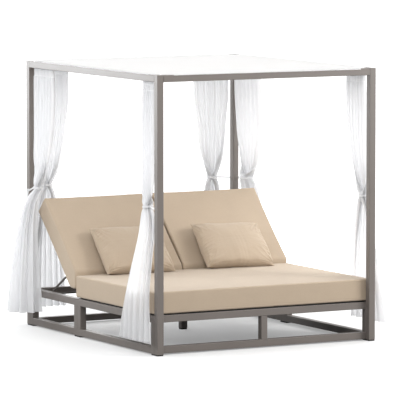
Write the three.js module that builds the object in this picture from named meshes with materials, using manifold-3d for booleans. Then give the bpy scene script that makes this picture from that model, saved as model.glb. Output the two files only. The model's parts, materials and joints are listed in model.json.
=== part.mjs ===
// Outdoor daybed with a canopy: a low aluminium base in two modules, four posts that carry a
// ring of beams and a cloth roof, a one-piece seat cushion, two reclining backs on prop stays,
// two scatter pillows and six voile curtains tied back at half height.
// Millimetres. X runs across the bed, +Y towards the head end, +Z up. The frame is laid out
// about the middle of its four posts, and the finished group is moved so that the origin is
// the middle of the whole footprint, curtains included, at floor level.

import * as THREE from 'three';
import * as BufferGeometryUtils from 'three/addons/utils/BufferGeometryUtils.js';
import Module from 'manifold-3d';

const wasm = await Module();
wasm.setup();

// Driving dimensions
const overallWidth = 1790;
const overallDepth = 2060;
const overallHeight = 1980;
const tube = 50;
const tubeWall = 2;
const tubeChamfer = 2.5;
const fit = 0.3;

const glideHeight = 10;
const glideInset = 2;
const baseTop = 280;
const frontModuleShare = 0.6071429;

const deckThickness = 9.7;
const deckInset = 22;

const seatThickness = 157;
const seatSideClearance = 0;
const seatFrontClearance = 3;
const seatBackOverhang = 22;
const seatCrown = 6;

const backThickness = 156;
const backRearGap = 133.5;
const backGap = 7;
const backCrown = 7;
const reclineDegrees = 45;
const backLift = 119;

const cushionEdgeRadius = 10;
const cushionDrawIn = 4;

const panelTube = 25;
const panelTubeWall = 1.5;
const panelRailGap = 5;
const panelSideGap = 22;
const sheetThickness = 2.2;
const sheetStart = 30;

const hingeBehindRail = 15;
const hingeRodRadius = 5;
const hingeBelowTop = 5;
const pinClearance = 0.3;

const stayPivotShare = 0.372308;
const stayLengthShare = 0.604615;
const stayWidth = 16;
const stayThickness = 6;
const footBarRadius = 6;
const footBarHeight = 251;

const rackThickness = 8;
const rackHeight = 12;
const rackToothDepth = 5;
const rackTeeth = 6;
const rackTipClearance = 0.5;
const rackLead = 18;
const rackEndLead = 14;

const centreRailTube = 40;
const centreRackHalfWidth = 38;

const roofThickness = 3;
const roofSag = 14;
const roofCorner = 130;
const roofInset = 2;

const clothThickness = 5;
const curtainFolds = 4;
const pointsPerFold = 5;
const curtainTopGap = 0.3;
const tieRadius = 52;
const tieBandThickness = 3;
const tieBandHeight = 34;
const tieHeight = 1045;

const pillowWidth = 577;
const pillowHeight = 416;
const pillowThickness = 140;
const pillowDrawIn = 26;
const pillowFromCentre = 411;
const pillowUpBack = 207;
const pillowSeatGap = 3;

// Derived places, worked out from the driving dimensions
const halfWidth = overallWidth / 2;
const halfDepth = overallDepth / 2;
const innerX = halfWidth - tube;
const moduleFront = tube - halfDepth;
const moduleBack = halfDepth - tube;
const seam = moduleFront + (moduleBack - moduleFront) * frontModuleShare;
const railBottom = baseTop - tube;
const beamBottom = overallHeight - tube;
const lowRailTop = glideHeight + tube;

const deckTop = baseTop + fit + deckThickness;
const seatBottom = deckTop + fit;

const hingeY = seam + tube + hingeBehindRail;
const hingeZ = baseTop - hingeBelowTop;
const recline = THREE.MathUtils.degToRad(reclineDegrees);
const panelLength = moduleBack - tube - hingeY - panelRailGap;
const stayPivotDistance = panelLength * stayPivotShare;
const stayLength = panelLength * stayLengthShare;
const panelHalf = panelTube / 2;
const sheetTop = panelHalf + sheetThickness;
const backUnderside = sheetTop + 2 * fit;
const backTop = (moduleBack - backRearGap - hingeY) / Math.cos(recline) + backUnderside;
const backLength = backTop - backLift;

const panelOuterX = innerX - panelSideGap;
const stayMidOffset = fit + stayThickness / 2;
const panelInnerX = centreRackHalfWidth + panelSideGap - rackThickness;
const stayDrop = stayPivotDistance * Math.sin(recline) + hingeZ - footBarHeight;
const stayAngle = Math.asin(stayDrop / stayLength);
const footY = hingeY + stayPivotDistance * Math.cos(recline) + stayLength * Math.cos(stayAngle);
const flatFootY = hingeY + stayPivotDistance + Math.sqrt(stayLength ** 2 - (hingeZ - footBarHeight) ** 2);
const rackToothPitch = (flatFootY + rackEndLead - footY) / rackTeeth;
const rackTop = footBarHeight - footBarRadius - rackTipClearance;

// Colours as seen on the finished pieces
const taupe = { color: 0x8b827a, roughness: 0.55, metalness: 0.35 };
const darkBoard = { color: 0x262321, roughness: 0.9, metalness: 0 };
const blackPlastic = { color: 0x1b1a19, roughness: 0.6, metalness: 0 };
const darkSteel = { color: 0x4c4743, roughness: 0.5, metalness: 0.6 };
const sandFabric = { color: 0xcbb699, roughness: 0.95, metalness: 0 };
const whiteVoile = { color: 0xf1f2f5, roughness: 0.95, metalness: 0 };

const daybed = new THREE.Group();
daybed.name = 'outdoor_daybed';

function addPiece(name, geometry, look, parent = daybed) {
  const mesh = new THREE.Mesh(geometry, new THREE.MeshStandardMaterial(look));
  mesh.name = name;
  parent.add(mesh);
  return mesh;
}

// Solid helpers: three.js makes every shape, and the solids library joins and cuts them.

function toSolid(geometry) {
  const plain = geometry.clone();
  plain.deleteAttribute('normal');
  plain.deleteAttribute('uv');
  const merged = BufferGeometryUtils.mergeVertices(plain);
  return new wasm.Manifold(new wasm.Mesh({
    numProp: 3,
    vertProperties: new Float32Array(merged.attributes.position.array),
    triVerts: new Uint32Array(merged.index.array),
  }));
}

function toGeometry(solid) {
  const mesh = solid.getMesh();
  const geometry = new THREE.BufferGeometry();
  geometry.setAttribute('position', new THREE.BufferAttribute(mesh.vertProperties, 3));
  geometry.setIndex(new THREE.BufferAttribute(mesh.triVerts, 1));
  return geometry;
}

function joined(geometries) {
  return geometries.map(toSolid).reduce((whole, piece) => whole.add(piece));
}

function cutFrom(solid, geometries) {
  return geometries.map(toSolid).reduce((whole, piece) => whole.subtract(piece), solid);
}

// A square bar that fills the box from low to high and runs along one axis.
function bar(low, high, axis, chamfer = tubeChamfer) {
  const size = new THREE.Vector3().subVectors(high, low);
  const middle = new THREE.Vector3().addVectors(low, high).multiplyScalar(0.5);
  const turned = {
    x: { width: size.z, height: size.y, length: size.x },
    y: { width: size.x, height: size.z, length: size.y },
    z: { width: size.x, height: size.y, length: size.z },
  }[axis];
  const halfW = turned.width / 2;
  const halfH = turned.height / 2;
  const outline = new THREE.Shape();
  outline.moveTo(chamfer - halfW, -halfH);
  outline.lineTo(halfW - chamfer, -halfH);
  outline.lineTo(halfW, chamfer - halfH);
  outline.lineTo(halfW, halfH - chamfer);
  outline.lineTo(halfW - chamfer, halfH);
  outline.lineTo(chamfer - halfW, halfH);
  outline.lineTo(-halfW, halfH - chamfer);
  outline.lineTo(-halfW, chamfer - halfH);
  outline.closePath();
  const geometry = new THREE.ExtrudeGeometry(outline, { depth: turned.length, bevelEnabled: false });
  geometry.translate(0, 0, -turned.length / 2);
  if (axis === 'x') geometry.rotateY(Math.PI / 2);
  if (axis === 'y') geometry.rotateX(-Math.PI / 2);
  geometry.translate(middle.x, middle.y, middle.z);
  return geometry;
}

function point(x, y, z) {
  return new THREE.Vector3(x, y, z);
}

function block(low, high) {
  const size = new THREE.Vector3().subVectors(high, low);
  const geometry = new THREE.BoxGeometry(size.x, size.y, size.z);
  geometry.translate((low.x + high.x) / 2, (low.y + high.y) / 2, (low.z + high.z) / 2);
  return geometry;
}

// The empty inside of a tube that fills the same box: the walls stay, and each end is either
// run through by one wall or held back by one.
function bore(low, high, axis, openLow = true, openHigh = true, wall = tubeWall) {
  const from = point(low.x + wall, low.y + wall, low.z + wall);
  const to = point(high.x - wall, high.y - wall, high.z - wall);
  if (openLow) from[axis] = low[axis] - wall;
  if (openHigh) to[axis] = high[axis] + wall;
  return block(from, to);
}

function squareTube(low, high, axis, openLow = true, openHigh = true) {
  return cutFrom(toSolid(bar(low, high, axis)), [bore(low, high, axis, openLow, openHigh)]);
}

function rod(radius, fromX, toX, y, z, sides = 12) {
  const geometry = new THREE.CylinderGeometry(radius, radius, toX - fromX, sides);
  geometry.rotateZ(Math.PI / 2);
  geometry.translate((fromX + toX) / 2, y, z);
  return geometry;
}

// Lofts: rings of points, bottom ring first, joined into one closed skin.

function skin(rings, capIndices) {
  const count = rings[0].length;
  const positions = [];
  const index = [];
  rings.forEach((ring) => ring.forEach((p) => positions.push(p.x, p.y, p.z)));
  for (let r = 0; r < rings.length - 1; r += 1) {
    for (let i = 0; i < count; i += 1) {
      const next = (i + 1) % count;
      const a = r * count + i;
      const b = r * count + next;
      index.push(a, b, b + count, a, b + count, a + count);
    }
  }
  capIndices(count, rings.length, positions, index);
  const geometry = new THREE.BufferGeometry();
  geometry.setAttribute('position', new THREE.Float32BufferAttribute(positions, 3));
  geometry.setIndex(index);
  return facingOut(geometry);
}

function facingOut(geometry) {
  const position = geometry.attributes.position;
  const index = geometry.index.array;
  const corner = [point(0, 0, 0), point(0, 0, 0), point(0, 0, 0)];
  let volume = 0;
  for (let t = 0; t < index.length; t += 3) {
    corner.forEach((c, k) => c.fromBufferAttribute(position, index[t + k]));
    volume += corner[0].dot(corner[1].clone().cross(corner[2]));
  }
  if (volume < 0) {
    for (let t = 0; t < index.length; t += 3) {
      [index[t + 1], index[t + 2]] = [index[t + 2], index[t + 1]];
    }
  }
  return geometry;
}

// Closes both ends of a plump form with a fan about the ring's own middle.
function fanCaps(count, rows, positions, index) {
  [0, rows - 1].forEach((row) => {
    const middle = point(0, 0, 0);
    for (let i = 0; i < count; i += 1) {
      const at = (row * count + i) * 3;
      middle.add(point(positions[at], positions[at + 1], positions[at + 2]));
    }
    middle.divideScalar(count);
    const hub = positions.length / 3;
    positions.push(middle.x, middle.y, middle.z);
    for (let i = 0; i < count; i += 1) {
      const a = row * count + i;
      const b = row * count + ((i + 1) % count);
      if (row === 0) index.push(hub, b, a);
      else index.push(hub, a, b);
    }
  });
}

// Closes the top and bottom edges of a cloth: the ring runs out along one face and back along
// the other, so each cap is a strip between opposite points.
function stripCaps(count, rows, positions, index) {
  [0, rows - 1].forEach((row) => {
    const start = row * count;
    for (let i = 0; i < count / 2 - 1; i += 1) {
      const a = start + i;
      const b = start + i + 1;
      const c = start + count - 2 - i;
      const d = start + count - 1 - i;
      if (row === 0) index.push(a, c, b, a, d, c);
      else index.push(a, b, c, a, c, d);
    }
  });
}

// Base frame
// Each side of a module is one welded ladder: two legs, a low rail and a top rail.

function sideFrame(name, side, fromY, toY) {
  const x0 = side < 0 ? -halfWidth : innerX;
  const x1 = x0 + tube;
  const spans = [
    [point(x0, fromY, glideHeight), point(x1, fromY + tube, baseTop), 'z', true, false],
    [point(x0, toY - tube, glideHeight), point(x1, toY, baseTop), 'z', true, false],
    [point(x0, fromY, railBottom), point(x1, toY, baseTop), 'y', false, false],
    [point(x0, fromY, glideHeight), point(x1, toY, lowRailTop), 'y', false, false],
  ];
  const outer = joined(spans.map(([low, high, axis]) => bar(low, high, axis)));
  const inner = spans.map((span) => bore(...span));
  addPiece(name, toGeometry(cutFrom(outer, inner)), taupe);
}

sideFrame('front_module_side_frame_left', -1, moduleFront, seam - fit / 2);
sideFrame('front_module_side_frame_right', 1, moduleFront, seam - fit / 2);
sideFrame('rear_module_side_frame_left', -1, seam + fit / 2, moduleBack);
sideFrame('rear_module_side_frame_right', 1, seam + fit / 2, moduleBack);

function crossRail(name, fromY, bottom, extras = []) {
  const low = point(fit - innerX, fromY, bottom);
  const high = point(innerX - fit, fromY + tube, bottom + tube);
  const rail = extras.reduce((whole, extra) => whole.add(extra), squareTube(low, high, 'x'));
  addPiece(name, toGeometry(rail), taupe);
}

crossRail('front_top_rail', moduleFront, railBottom);
crossRail('front_low_rail', moduleFront, glideHeight);
crossRail('front_module_seam_rail', seam - tube - fit / 2, railBottom);
crossRail('rear_top_rail', moduleBack - tube, railBottom);
crossRail('rear_low_rail', moduleBack - tube, glideHeight);

// The hinge ears stand on the rear face of the rear module's front rail.
const earThickness = 6;
const earReach = hingeRodRadius + 5;
const lugInset = 6;
const lugThickness = 6;
const lugToEar = 1;

function hingePlaces(side) {
  const outerLug = panelOuterX - lugInset - lugThickness;
  const innerLug = panelInnerX + lugInset;
  return [
    { lug: side * (outerLug + lugThickness / 2), ear: side * (outerLug - lugToEar - earThickness / 2) },
    {
      lug: side * (innerLug + lugThickness / 2),
      ear: side * (innerLug + lugThickness + lugToEar + earThickness / 2),
    },
  ];
}

function hingeEar(x) {
  const railFace = seam + fit / 2 + tube;
  const plate = toSolid(block(
    point(x - earThickness / 2, railFace - tubeWall / 2, hingeZ - earReach),
    point(x + earThickness / 2, hingeY + earReach, hingeZ + earReach),
  ));
  const hole = rod(hingeRodRadius + pinClearance, x - earThickness, x + earThickness, hingeY, hingeZ, 16);
  return cutFrom(plate, [hole]);
}

const ears = [-1, 1].flatMap((side) => hingePlaces(side).map((place) => hingeEar(place.ear)));
crossRail('rear_module_hinge_rail', seam + fit / 2, railBottom, ears);

const railMid = moduleFront + tube / 2;
addPiece('front_centre_post', toGeometry(squareTube(
  point(-tube / 2, railMid - tube / 2, lowRailTop + fit),
  point(tube / 2, railMid + tube / 2, railBottom - fit),
  'z',
)), taupe);

const centreLegFront = seam + fit / 2;
addPiece('centre_leg', toGeometry(squareTube(
  point(-tube / 2, centreLegFront, glideHeight),
  point(tube / 2, centreLegFront + tube, railBottom - fit),
  'z',
)), taupe);

const centreRailTop = railBottom - fit;
addPiece('centre_rail', toGeometry(squareTube(
  point(-centreRailTube / 2, centreLegFront + tube + fit, centreRailTop - centreRailTube),
  point(centreRailTube / 2, moduleBack, centreRailTop),
  'y',
)), taupe);

// Glides: one pad under each pair of legs and one under the centre leg
function glide(name, x0, x1, y0, y1) {
  addPiece(name, bar(
    point(x0 + glideInset, y0 + glideInset, 0),
    point(x1 - glideInset, y1 - glideInset, glideHeight - fit),
    'z',
  ), blackPlastic);
}

glide('glide_front_left', -halfWidth, -innerX, -halfDepth, moduleFront + tube);
glide('glide_front_right', innerX, halfWidth, -halfDepth, moduleFront + tube);
glide('glide_back_left', -halfWidth, -innerX, moduleBack - tube, halfDepth);
glide('glide_back_right', innerX, halfWidth, moduleBack - tube, halfDepth);
glide('glide_middle_left', -halfWidth, -innerX, seam - tube, seam + tube);
glide('glide_middle_right', innerX, halfWidth, seam - tube, seam + tube);
glide('glide_centre', -tube / 2, tube / 2, centreLegFront, centreLegFront + tube);

// Seat deck
addPiece('seat_deck', block(
  point(deckInset - halfWidth, moduleFront + deckInset, baseTop + fit),
  point(halfWidth - deckInset, seam - deckInset, deckTop),
), darkBoard);

// Canopy frame
function post(name, sideX, sideY) {
  const x0 = sideX < 0 ? -halfWidth : innerX;
  const y0 = sideY < 0 ? -halfDepth : moduleBack;
  addPiece(name, toGeometry(squareTube(
    point(x0, y0 + (sideY < 0 ? 0 : fit), glideHeight),
    point(x0 + tube, y0 + tube - (sideY < 0 ? fit : 0), overallHeight),
    'z',
    true,
    false,
  )), taupe);
}

post('post_front_left', -1, -1);
post('post_front_right', 1, -1);
post('post_back_left', -1, 1);
post('post_back_right', 1, 1);

function beam(name, low, high, axis) {
  addPiece(name, toGeometry(squareTube(low, high, axis)), taupe);
}

beam('beam_front', point(fit - innerX, -halfDepth, beamBottom),
  point(innerX - fit, moduleFront - fit, overallHeight), 'x');
beam('beam_back', point(fit - innerX, moduleBack + fit, beamBottom),
  point(innerX - fit, halfDepth, overallHeight), 'x');
beam('beam_left', point(-halfWidth, moduleFront, beamBottom),
  point(-innerX, moduleBack, overallHeight), 'y');
beam('beam_right', point(innerX, moduleFront, beamBottom),
  point(halfWidth, moduleBack, overallHeight), 'y');

// Roof cloth: stretched over the beams, cut away at the corners, sagging a little inside them
const roofEdgePoints = 5;
const roofRingShares = [1, 0.94, 0.6, 0.25];

function roofOutline() {
  const x = halfWidth - roofInset;
  const y = halfDepth - roofInset;
  const corners = [
    [x - roofCorner, -y], [x, roofCorner - y], [x, y - roofCorner], [x - roofCorner, y],
    [roofCorner - x, y], [-x, y - roofCorner], [-x, roofCorner - y], [roofCorner - x, -y],
  ];
  const outline = [];
  corners.forEach(([cx, cy], k) => {
    const [nx, ny] = corners[(k + 1) % corners.length];
    const steps = k % 2 === 0 ? 1 : roofEdgePoints;
    for (let i = 0; i < steps; i += 1) {
      outline.push([cx + ((nx - cx) * i) / steps, cy + ((ny - cy) * i) / steps]);
    }
  });
  return outline;
}

function roofRing(share, lift) {
  const inside = 1 - share * share;
  return roofOutline().map(([x, y]) => point(
    x * share,
    y * share,
    overallHeight + fit + lift - roofSag * inside * (share < 0.93 ? 1 : 0),
  ));
}

addPiece('roof_cloth', skin([
  ...[...roofRingShares].reverse().map((share) => roofRing(share, 0)),
  ...roofRingShares.map((share) => roofRing(share, roofThickness)),
], fanCaps), whiteVoile);

// Cushions
// A boxed cushion lies in its own box: across X, along Y, thickness Z from zero upwards.
const cushionPointsAcross = 7;
const cushionPointsAlong = 6;

function cushionOutline(width, length, radius, drawIn, inset) {
  const halfX = width / 2 - inset;
  const halfY = length / 2 - inset;
  const round = Math.max(radius - inset, radius / 3);
  const outline = [];
  const side = (fromX, fromY, toX, toY, inX, inY, steps) => {
    for (let i = 0; i <= steps; i += 1) {
      const t = i / steps;
      const pull = drawIn * 4 * t * (1 - t);
      outline.push([fromX + (toX - fromX) * t + inX * pull, fromY + (toY - fromY) * t + inY * pull]);
    }
  };
  side(round - halfX, -halfY, halfX - round, -halfY, 0, 1, cushionPointsAcross);
  side(halfX, round - halfY, halfX, halfY - round, -1, 0, cushionPointsAlong);
  side(halfX - round, halfY, round - halfX, halfY, 0, -1, cushionPointsAcross);
  side(-halfX, halfY - round, -halfX, round - halfY, 1, 0, cushionPointsAlong);
  return outline;
}

function boxedCushion(width, length, thickness, crown) {
  const ring = (inset, height) => cushionOutline(width, length, cushionEdgeRadius, cushionDrawIn, inset)
    .map(([x, y]) => point(x, y, height));
  const dome = (share) => cushionOutline(width, length, cushionEdgeRadius, cushionDrawIn, cushionEdgeRadius)
    .map(([x, y]) => point(x * share, y * share, thickness + crown * (1 - share * share)));
  const rim = cushionEdgeRadius;
  const slope = rim * (1 - Math.SQRT1_2);
  const rings = [
    ring(rim, 0),
    ring(slope, slope),
    ring(0, rim),
    ring(0, thickness - rim),
    ring(slope, thickness - slope),
    dome(1),
    dome(0.72),
    dome(0.4),
  ];
  return skin(rings, fanCaps);
}

const seatWidth = overallWidth - 2 * seatSideClearance;
const seatFront = moduleFront + seatFrontClearance;
const seatRear = seam + seatBackOverhang;
const seatCushion = addPiece(
  'seat_cushion',
  boxedCushion(seatWidth, seatRear - seatFront, seatThickness, seatCrown),
  sandFabric,
);
seatCushion.position.set(0, (seatFront + seatRear) / 2, seatBottom);

// Reclining backs
// Each back hangs in a group turned about its hinge: there X runs across the bed, Y up along
// the panel from the hinge axis and Z out of the panel towards the person.

function reclining(side) {
  const group = new THREE.Group();
  group.position.set(0, hingeY, hingeZ);
  group.rotation.x = recline;
  daybed.add(group);
  return group;
}

function pinHole(x, y, radius, reach) {
  return rod(radius + pinClearance, x - reach, x + reach, y, 0, 16);
}

const lugStart = -hingeRodRadius - 5;
const panelTubeStart = 14;
const pivotPinRadius = 4;
const pivotPinReach = stayThickness + fit + 2;

function backPanel(side, label, group) {
  const xIn = side * panelInnerX;
  const xOut = side * panelOuterX;
  const low = Math.min(xIn, xOut);
  const high = Math.max(xIn, xOut);
  const spans = [
    [point(low, panelTubeStart, -panelHalf), point(low + panelTube, panelLength, panelHalf), 'y', true, false],
    [point(high - panelTube, panelTubeStart, -panelHalf), point(high, panelLength, panelHalf), 'y', true, false],
    [point(low, panelLength - panelTube, -panelHalf), point(high, panelLength, panelHalf), 'x', false, false],
    [point(low, sheetStart, -panelHalf), point(high, sheetStart + panelTube, panelHalf), 'x', false, false],
  ];
  const outer = joined(spans.map(([from, to, axis]) => bar(from, to, axis, panelTubeWall / 2)));
  let panel = cutFrom(outer, spans.map(([from, to, axis, a, b]) => bore(from, to, axis, a, b, panelTubeWall)));
  panel = panel.add(toSolid(block(
    point(low, sheetStart, panelHalf - panelTubeWall / 2),
    point(high, panelLength, sheetTop),
  )));
  hingePlaces(side).forEach(({ lug }) => {
    const plate = toSolid(block(
      point(lug - lugThickness / 2, lugStart, -panelHalf + panelTubeWall),
      point(lug + lugThickness / 2, sheetStart, panelHalf - panelTubeWall),
    ));
    panel = panel.add(cutFrom(plate, [pinHole(lug, 0, hingeRodRadius, lugThickness)]));
  });
  const pinFrom = panelTubeWall / 2;
  panel = panel.add(toSolid(rod(pivotPinRadius, high - pinFrom, high + pivotPinReach, stayPivotDistance, 0)));
  panel = panel.add(toSolid(rod(pivotPinRadius, low - pivotPinReach, low + pinFrom, stayPivotDistance, 0)));
  addPiece(`back_panel_${label}`, toGeometry(panel), taupe, group);
}

function backCushion(side, label, group) {
  const width = (seatWidth - backGap) / 2;
  const cushion = addPiece(
    `back_cushion_${label}`,
    boxedCushion(width, backLength, backThickness, backCrown),
    sandFabric,
    group,
  );
  cushion.position.set((side * (width + backGap)) / 2, backLift + backLength / 2, backUnderside);
}

function hingeRod(side, label) {
  const [outer, inner] = hingePlaces(side);
  const reach = lugThickness;
  const ends = [outer.lug, inner.lug].sort((a, b) => a - b);
  addPiece(
    `hinge_rod_${label}`,
    rod(hingeRodRadius, ends[0] - reach, ends[1] + reach, hingeY, hingeZ),
    darkSteel,
  );
}

// Prop stays: two flat links hang from the panel's pivot pins and share a foot bar, which
// stands on the toothed racks.
function stayLink(name, x, parent) {
  const halfW = stayWidth / 2;
  const outline = new THREE.Shape();
  outline.moveTo(0, -halfW);
  outline.lineTo(stayLength, -halfW);
  outline.absarc(stayLength, 0, halfW, -Math.PI / 2, Math.PI / 2, false);
  outline.lineTo(0, halfW);
  outline.absarc(0, 0, halfW, Math.PI / 2, Math.PI * 1.5, false);
  const pivotHole = new THREE.Path();
  pivotHole.absarc(0, 0, pivotPinRadius + pinClearance, 0, Math.PI * 2, false);
  const footHole = new THREE.Path();
  footHole.absarc(stayLength, 0, footBarRadius + pinClearance, 0, Math.PI * 2, false);
  outline.holes.push(pivotHole, footHole);
  const geometry = new THREE.ExtrudeGeometry(outline, {
    depth: stayThickness,
    bevelEnabled: false,
    curveSegments: 8,
  });
  geometry.translate(0, 0, -stayThickness / 2);
  geometry.rotateY(Math.PI / 2);
  geometry.rotateX(Math.PI / 2);
  geometry.translate(x, 0, 0);
  return addPiece(name, geometry, darkSteel, parent);
}

function propStays(side, label) {
  const group = new THREE.Group();
  group.position.set(
    0,
    hingeY + stayPivotDistance * Math.cos(recline),
    hingeZ + stayPivotDistance * Math.sin(recline),
  );
  group.rotation.x = -stayAngle;
  daybed.add(group);
  stayLink(`prop_stay_${label}_outer`, side * (panelOuterX + stayMidOffset), group);
  stayLink(`prop_stay_${label}_inner`, side * (panelInnerX - stayMidOffset), group);
  const outerEnd = side * (innerX - fit - pinClearance);
  const innerEnd = side * backGap;
  addPiece(
    `prop_foot_bar_${label}`,
    rod(footBarRadius, Math.min(outerEnd, innerEnd), Math.max(outerEnd, innerEnd), stayLength, 0),
    darkSteel,
    group,
  );
}

// Racks: saw-toothed bars on the side rails and on the centre rail
function rack(name, low, high, bottom) {
  const start = footY - rackLead;
  const outline = new THREE.Shape();
  outline.moveTo(start, bottom);
  outline.lineTo(start, rackTop);
  for (let i = 0; i < rackTeeth; i += 1) {
    const y = start + rackLead / 2 + i * rackToothPitch;
    outline.lineTo(y, rackTop);
    outline.lineTo(y, rackTop - rackToothDepth);
    outline.lineTo(y + rackToothPitch / 2, rackTop - rackToothDepth);
    outline.lineTo(y + rackToothPitch * 0.75, rackTop);
  }
  outline.lineTo(start + rackLead + rackTeeth * rackToothPitch, rackTop);
  outline.lineTo(start + rackLead + rackTeeth * rackToothPitch, bottom);
  outline.closePath();
  const geometry = new THREE.ExtrudeGeometry(outline, { depth: high - low, bevelEnabled: false });
  geometry.rotateX(Math.PI / 2);
  geometry.rotateZ(Math.PI / 2);
  geometry.translate(low, 0, 0);
  addPiece(name, geometry, darkSteel);
}

rack('rack_left', fit - innerX, fit + rackThickness - innerX, rackTop - rackHeight);
rack('rack_right', innerX - fit - rackThickness, innerX - fit, rackTop - rackHeight);
rack('rack_centre', -centreRackHalfWidth, centreRackHalfWidth, centreRailTop + fit);

// Scatter pillows: plump in the middle, thin at the seam, corners drawn out to points
const pillowPoints = 8;
const pillowEdgeShares = [1, 0.93, 0.78, 0.55, 0.28];
const pillowSeamHalf = 3;

function pillowOutline(share) {
  const halfX = (pillowWidth / 2) * share;
  const halfY = (pillowHeight / 2) * share;
  const pull = pillowDrawIn * share;
  const corners = [[-halfX, -halfY], [halfX, -halfY], [halfX, halfY], [-halfX, halfY]];
  const inward = [[0, 1], [-1, 0], [0, -1], [1, 0]];
  const outline = [];
  corners.forEach(([cx, cy], k) => {
    const [nx, ny] = corners[(k + 1) % corners.length];
    for (let i = 0; i < pillowPoints; i += 1) {
      const t = i / pillowPoints;
      const bow = pull * Math.sin(Math.PI * t);
      outline.push([cx + (nx - cx) * t + inward[k][0] * bow, cy + (ny - cy) * t + inward[k][1] * bow]);
    }
  });
  return outline;
}

function pillowRing(share, sign) {
  const plump = pillowSeamHalf + (pillowThickness / 2 - pillowSeamHalf) * (1 - share ** 2.4) ** 0.8;
  return pillowOutline(share).map(([x, y]) => point(x, y, sign * plump));
}

function scatterPillow(side, label, group) {
  const pillow = addPiece(`scatter_pillow_${label}`, skin([
    ...[...pillowEdgeShares].reverse().map((share) => pillowRing(share, -1)),
    ...pillowEdgeShares.map((share) => pillowRing(share, 1)),
  ], fanCaps), sandFabric, group);
  const out = backUnderside + backThickness + backCrown + pillowSeatGap + pillowThickness / 2;
  pillow.position.set(side * pillowFromCentre, pillowUpBack, out);
}

[[-1, 'left'], [1, 'right']].forEach(([side, label]) => {
  const group = reclining(side);
  backPanel(side, label, group);
  backCushion(side, label, group);
  scatterPillow(side, label, group);
  hingeRod(side, label);
  propStays(side, label);
});

// Curtains
// A curtain is one folded sheet. Its section at each height is an arc of folds: nearly flat
// under the beam, closed up round the tie-back, and opened to a bell towards the hem. Each
// level gives the arc's middle, its half spread along and across the beam, how far the arc
// closes (0 flat, 1 nearly a ring) and the depth of the folds.

const foldCount = curtainFolds * pointsPerFold;

function clothPath(level, alongY, outward) {
  const path = [];
  const turn = Math.PI * 0.86 * level.close;
  for (let i = 0; i <= foldCount; i += 1) {
    const t = (2 * i) / foldCount - 1;
    const wave = level.fold * Math.cos(Math.PI * curtainFolds * (t + 1));
    const angle = turn * t;
    const flat = 1 - level.close;
    const along = level.close > 0
      ? (flat * t + level.close * Math.sin(angle)) * level.along
      : level.along * t;
    const across = level.close * Math.cos(angle) * level.across;
    const normalAlong = Math.sin(angle) * level.close;
    const normalAcross = flat + Math.cos(angle) * level.close;
    const length = Math.hypot(normalAlong, normalAcross);
    const a = along + (wave * normalAlong) / length;
    const c = (across + (wave * normalAcross) / length) * outward;
    path.push(alongY
      ? new THREE.Vector2(level.x + c, level.y + a)
      : new THREE.Vector2(level.x + a, level.y + c));
  }
  return path;
}

function clothRing(level, alongY, outward) {
  const path = clothPath(level, alongY, outward);
  const half = clothThickness / 2;
  const normals = path.map((p, i) => {
    const before = path[Math.max(i - 1, 0)];
    const after = path[Math.min(i + 1, path.length - 1)];
    const run = after.clone().sub(before).normalize();
    return new THREE.Vector2(-run.y, run.x);
  });
  const front = path.map((p, i) => point(p.x + normals[i].x * half, p.y + normals[i].y * half, level.z));
  const rear = path.map((p, i) => point(p.x - normals[i].x * half, p.y - normals[i].y * half, level.z));
  return [...front, ...rear.reverse()];
}

function curtain(name, levels, alongY, outward) {
  addPiece(name, skin(levels.map((level) => clothRing(level, alongY, outward)), stripCaps), whiteVoile);
}

// Heights of the rings as shares of the way from hem to tie and from tie to beam
const belowTieShares = [0, 0.3, 0.62, 0.86];
const aboveTieShares = [0.14, 0.42, 0.74, 1];
const bundleSpread = 40;
const bundleFold = 7;
const bandReach = tieBandHeight / 2 + 2 * tieBandThickness;

// A curtain's levels come from its hem, tie and head places. Below the tie a curtain moves out
// as its moveShares give and opens as its bellShares give, hem first; above the tie the
// liftShares and headShares do the same, tie first.
const steadyShares = [1, 0.7, 0.38, 0.14];
const leftBackShares = { move: [1, 0.98, 0.9, 0.7], bell: [1, 0.82, 0.5, 0.18] };
const leftFrontShares = { move: [1, 0.95, 0.75, 0.4], bell: steadyShares };
const rightFrontShares = { move: [1, 0.74, 0.36, 0.15], bell: [1, 0.62, 0.32, 0.12] };
const evenShares = { move: steadyShares, bell: steadyShares };
const backHeadShares = { lift: [0.4, 0.85, 1, 1], open: [0.4, 0.85, 1.03, 1] };
const leftFrontHeadShares = { lift: [0.05, 0.2, 0.5, 1], open: [0.5, 1.15, 1.2, 1] };
const rightFrontHeadShares = { lift: [0.25, 0.54, 0.81, 1], open: [0.25, 0.54, 0.81, 1] };
const rearHeadShares = { lift: [0.3, 0.65, 0.93, 1], open: [0.3, 0.65, 0.93, 1] };
const headCloseShare = 0.12;
const bellCloseShare = 0.9;
const leftFrontCloseShare = 0.45;
const rightFrontCloseShare = 0.5;
const rearCloseShare = 0.4;

function mix(a, b, share) {
  return a + (b - a) * share;
}

function curtainLevels({ hem, tie, head, below, above }) {
  const bundle = { along: bundleSpread, across: bundleSpread, close: 1, fold: bundleFold };
  const from = { ...tie, ...bundle };
  const blendTo = (to, share, move, z) => ({
    x: mix(from.x, to.x, move),
    y: mix(from.y, to.y, move),
    along: mix(from.along, to.along, share),
    across: mix(from.across, to.across, share),
    close: mix(from.close, to.close, Math.min(share, 1)),
    fold: mix(from.fold, to.fold, share),
    z,
  });
  const lower = belowTieShares.map((share, i) => (
    blendTo(hem, below.bell[i], below.move[i], mix(hem.z, tieHeight - bandReach, share))
  ));
  const top = beamBottom - curtainTopGap;
  const upper = aboveTieShares.map((share, i) => (
    blendTo(head, above.open[i], above.lift[i], mix(tieHeight + bandReach, top, share))
  ));
  const tied = [{ ...from, z: tieHeight - bandReach }, { ...from, z: tieHeight + bandReach }];
  return [...lower, ...tied, ...upper];
}

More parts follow.
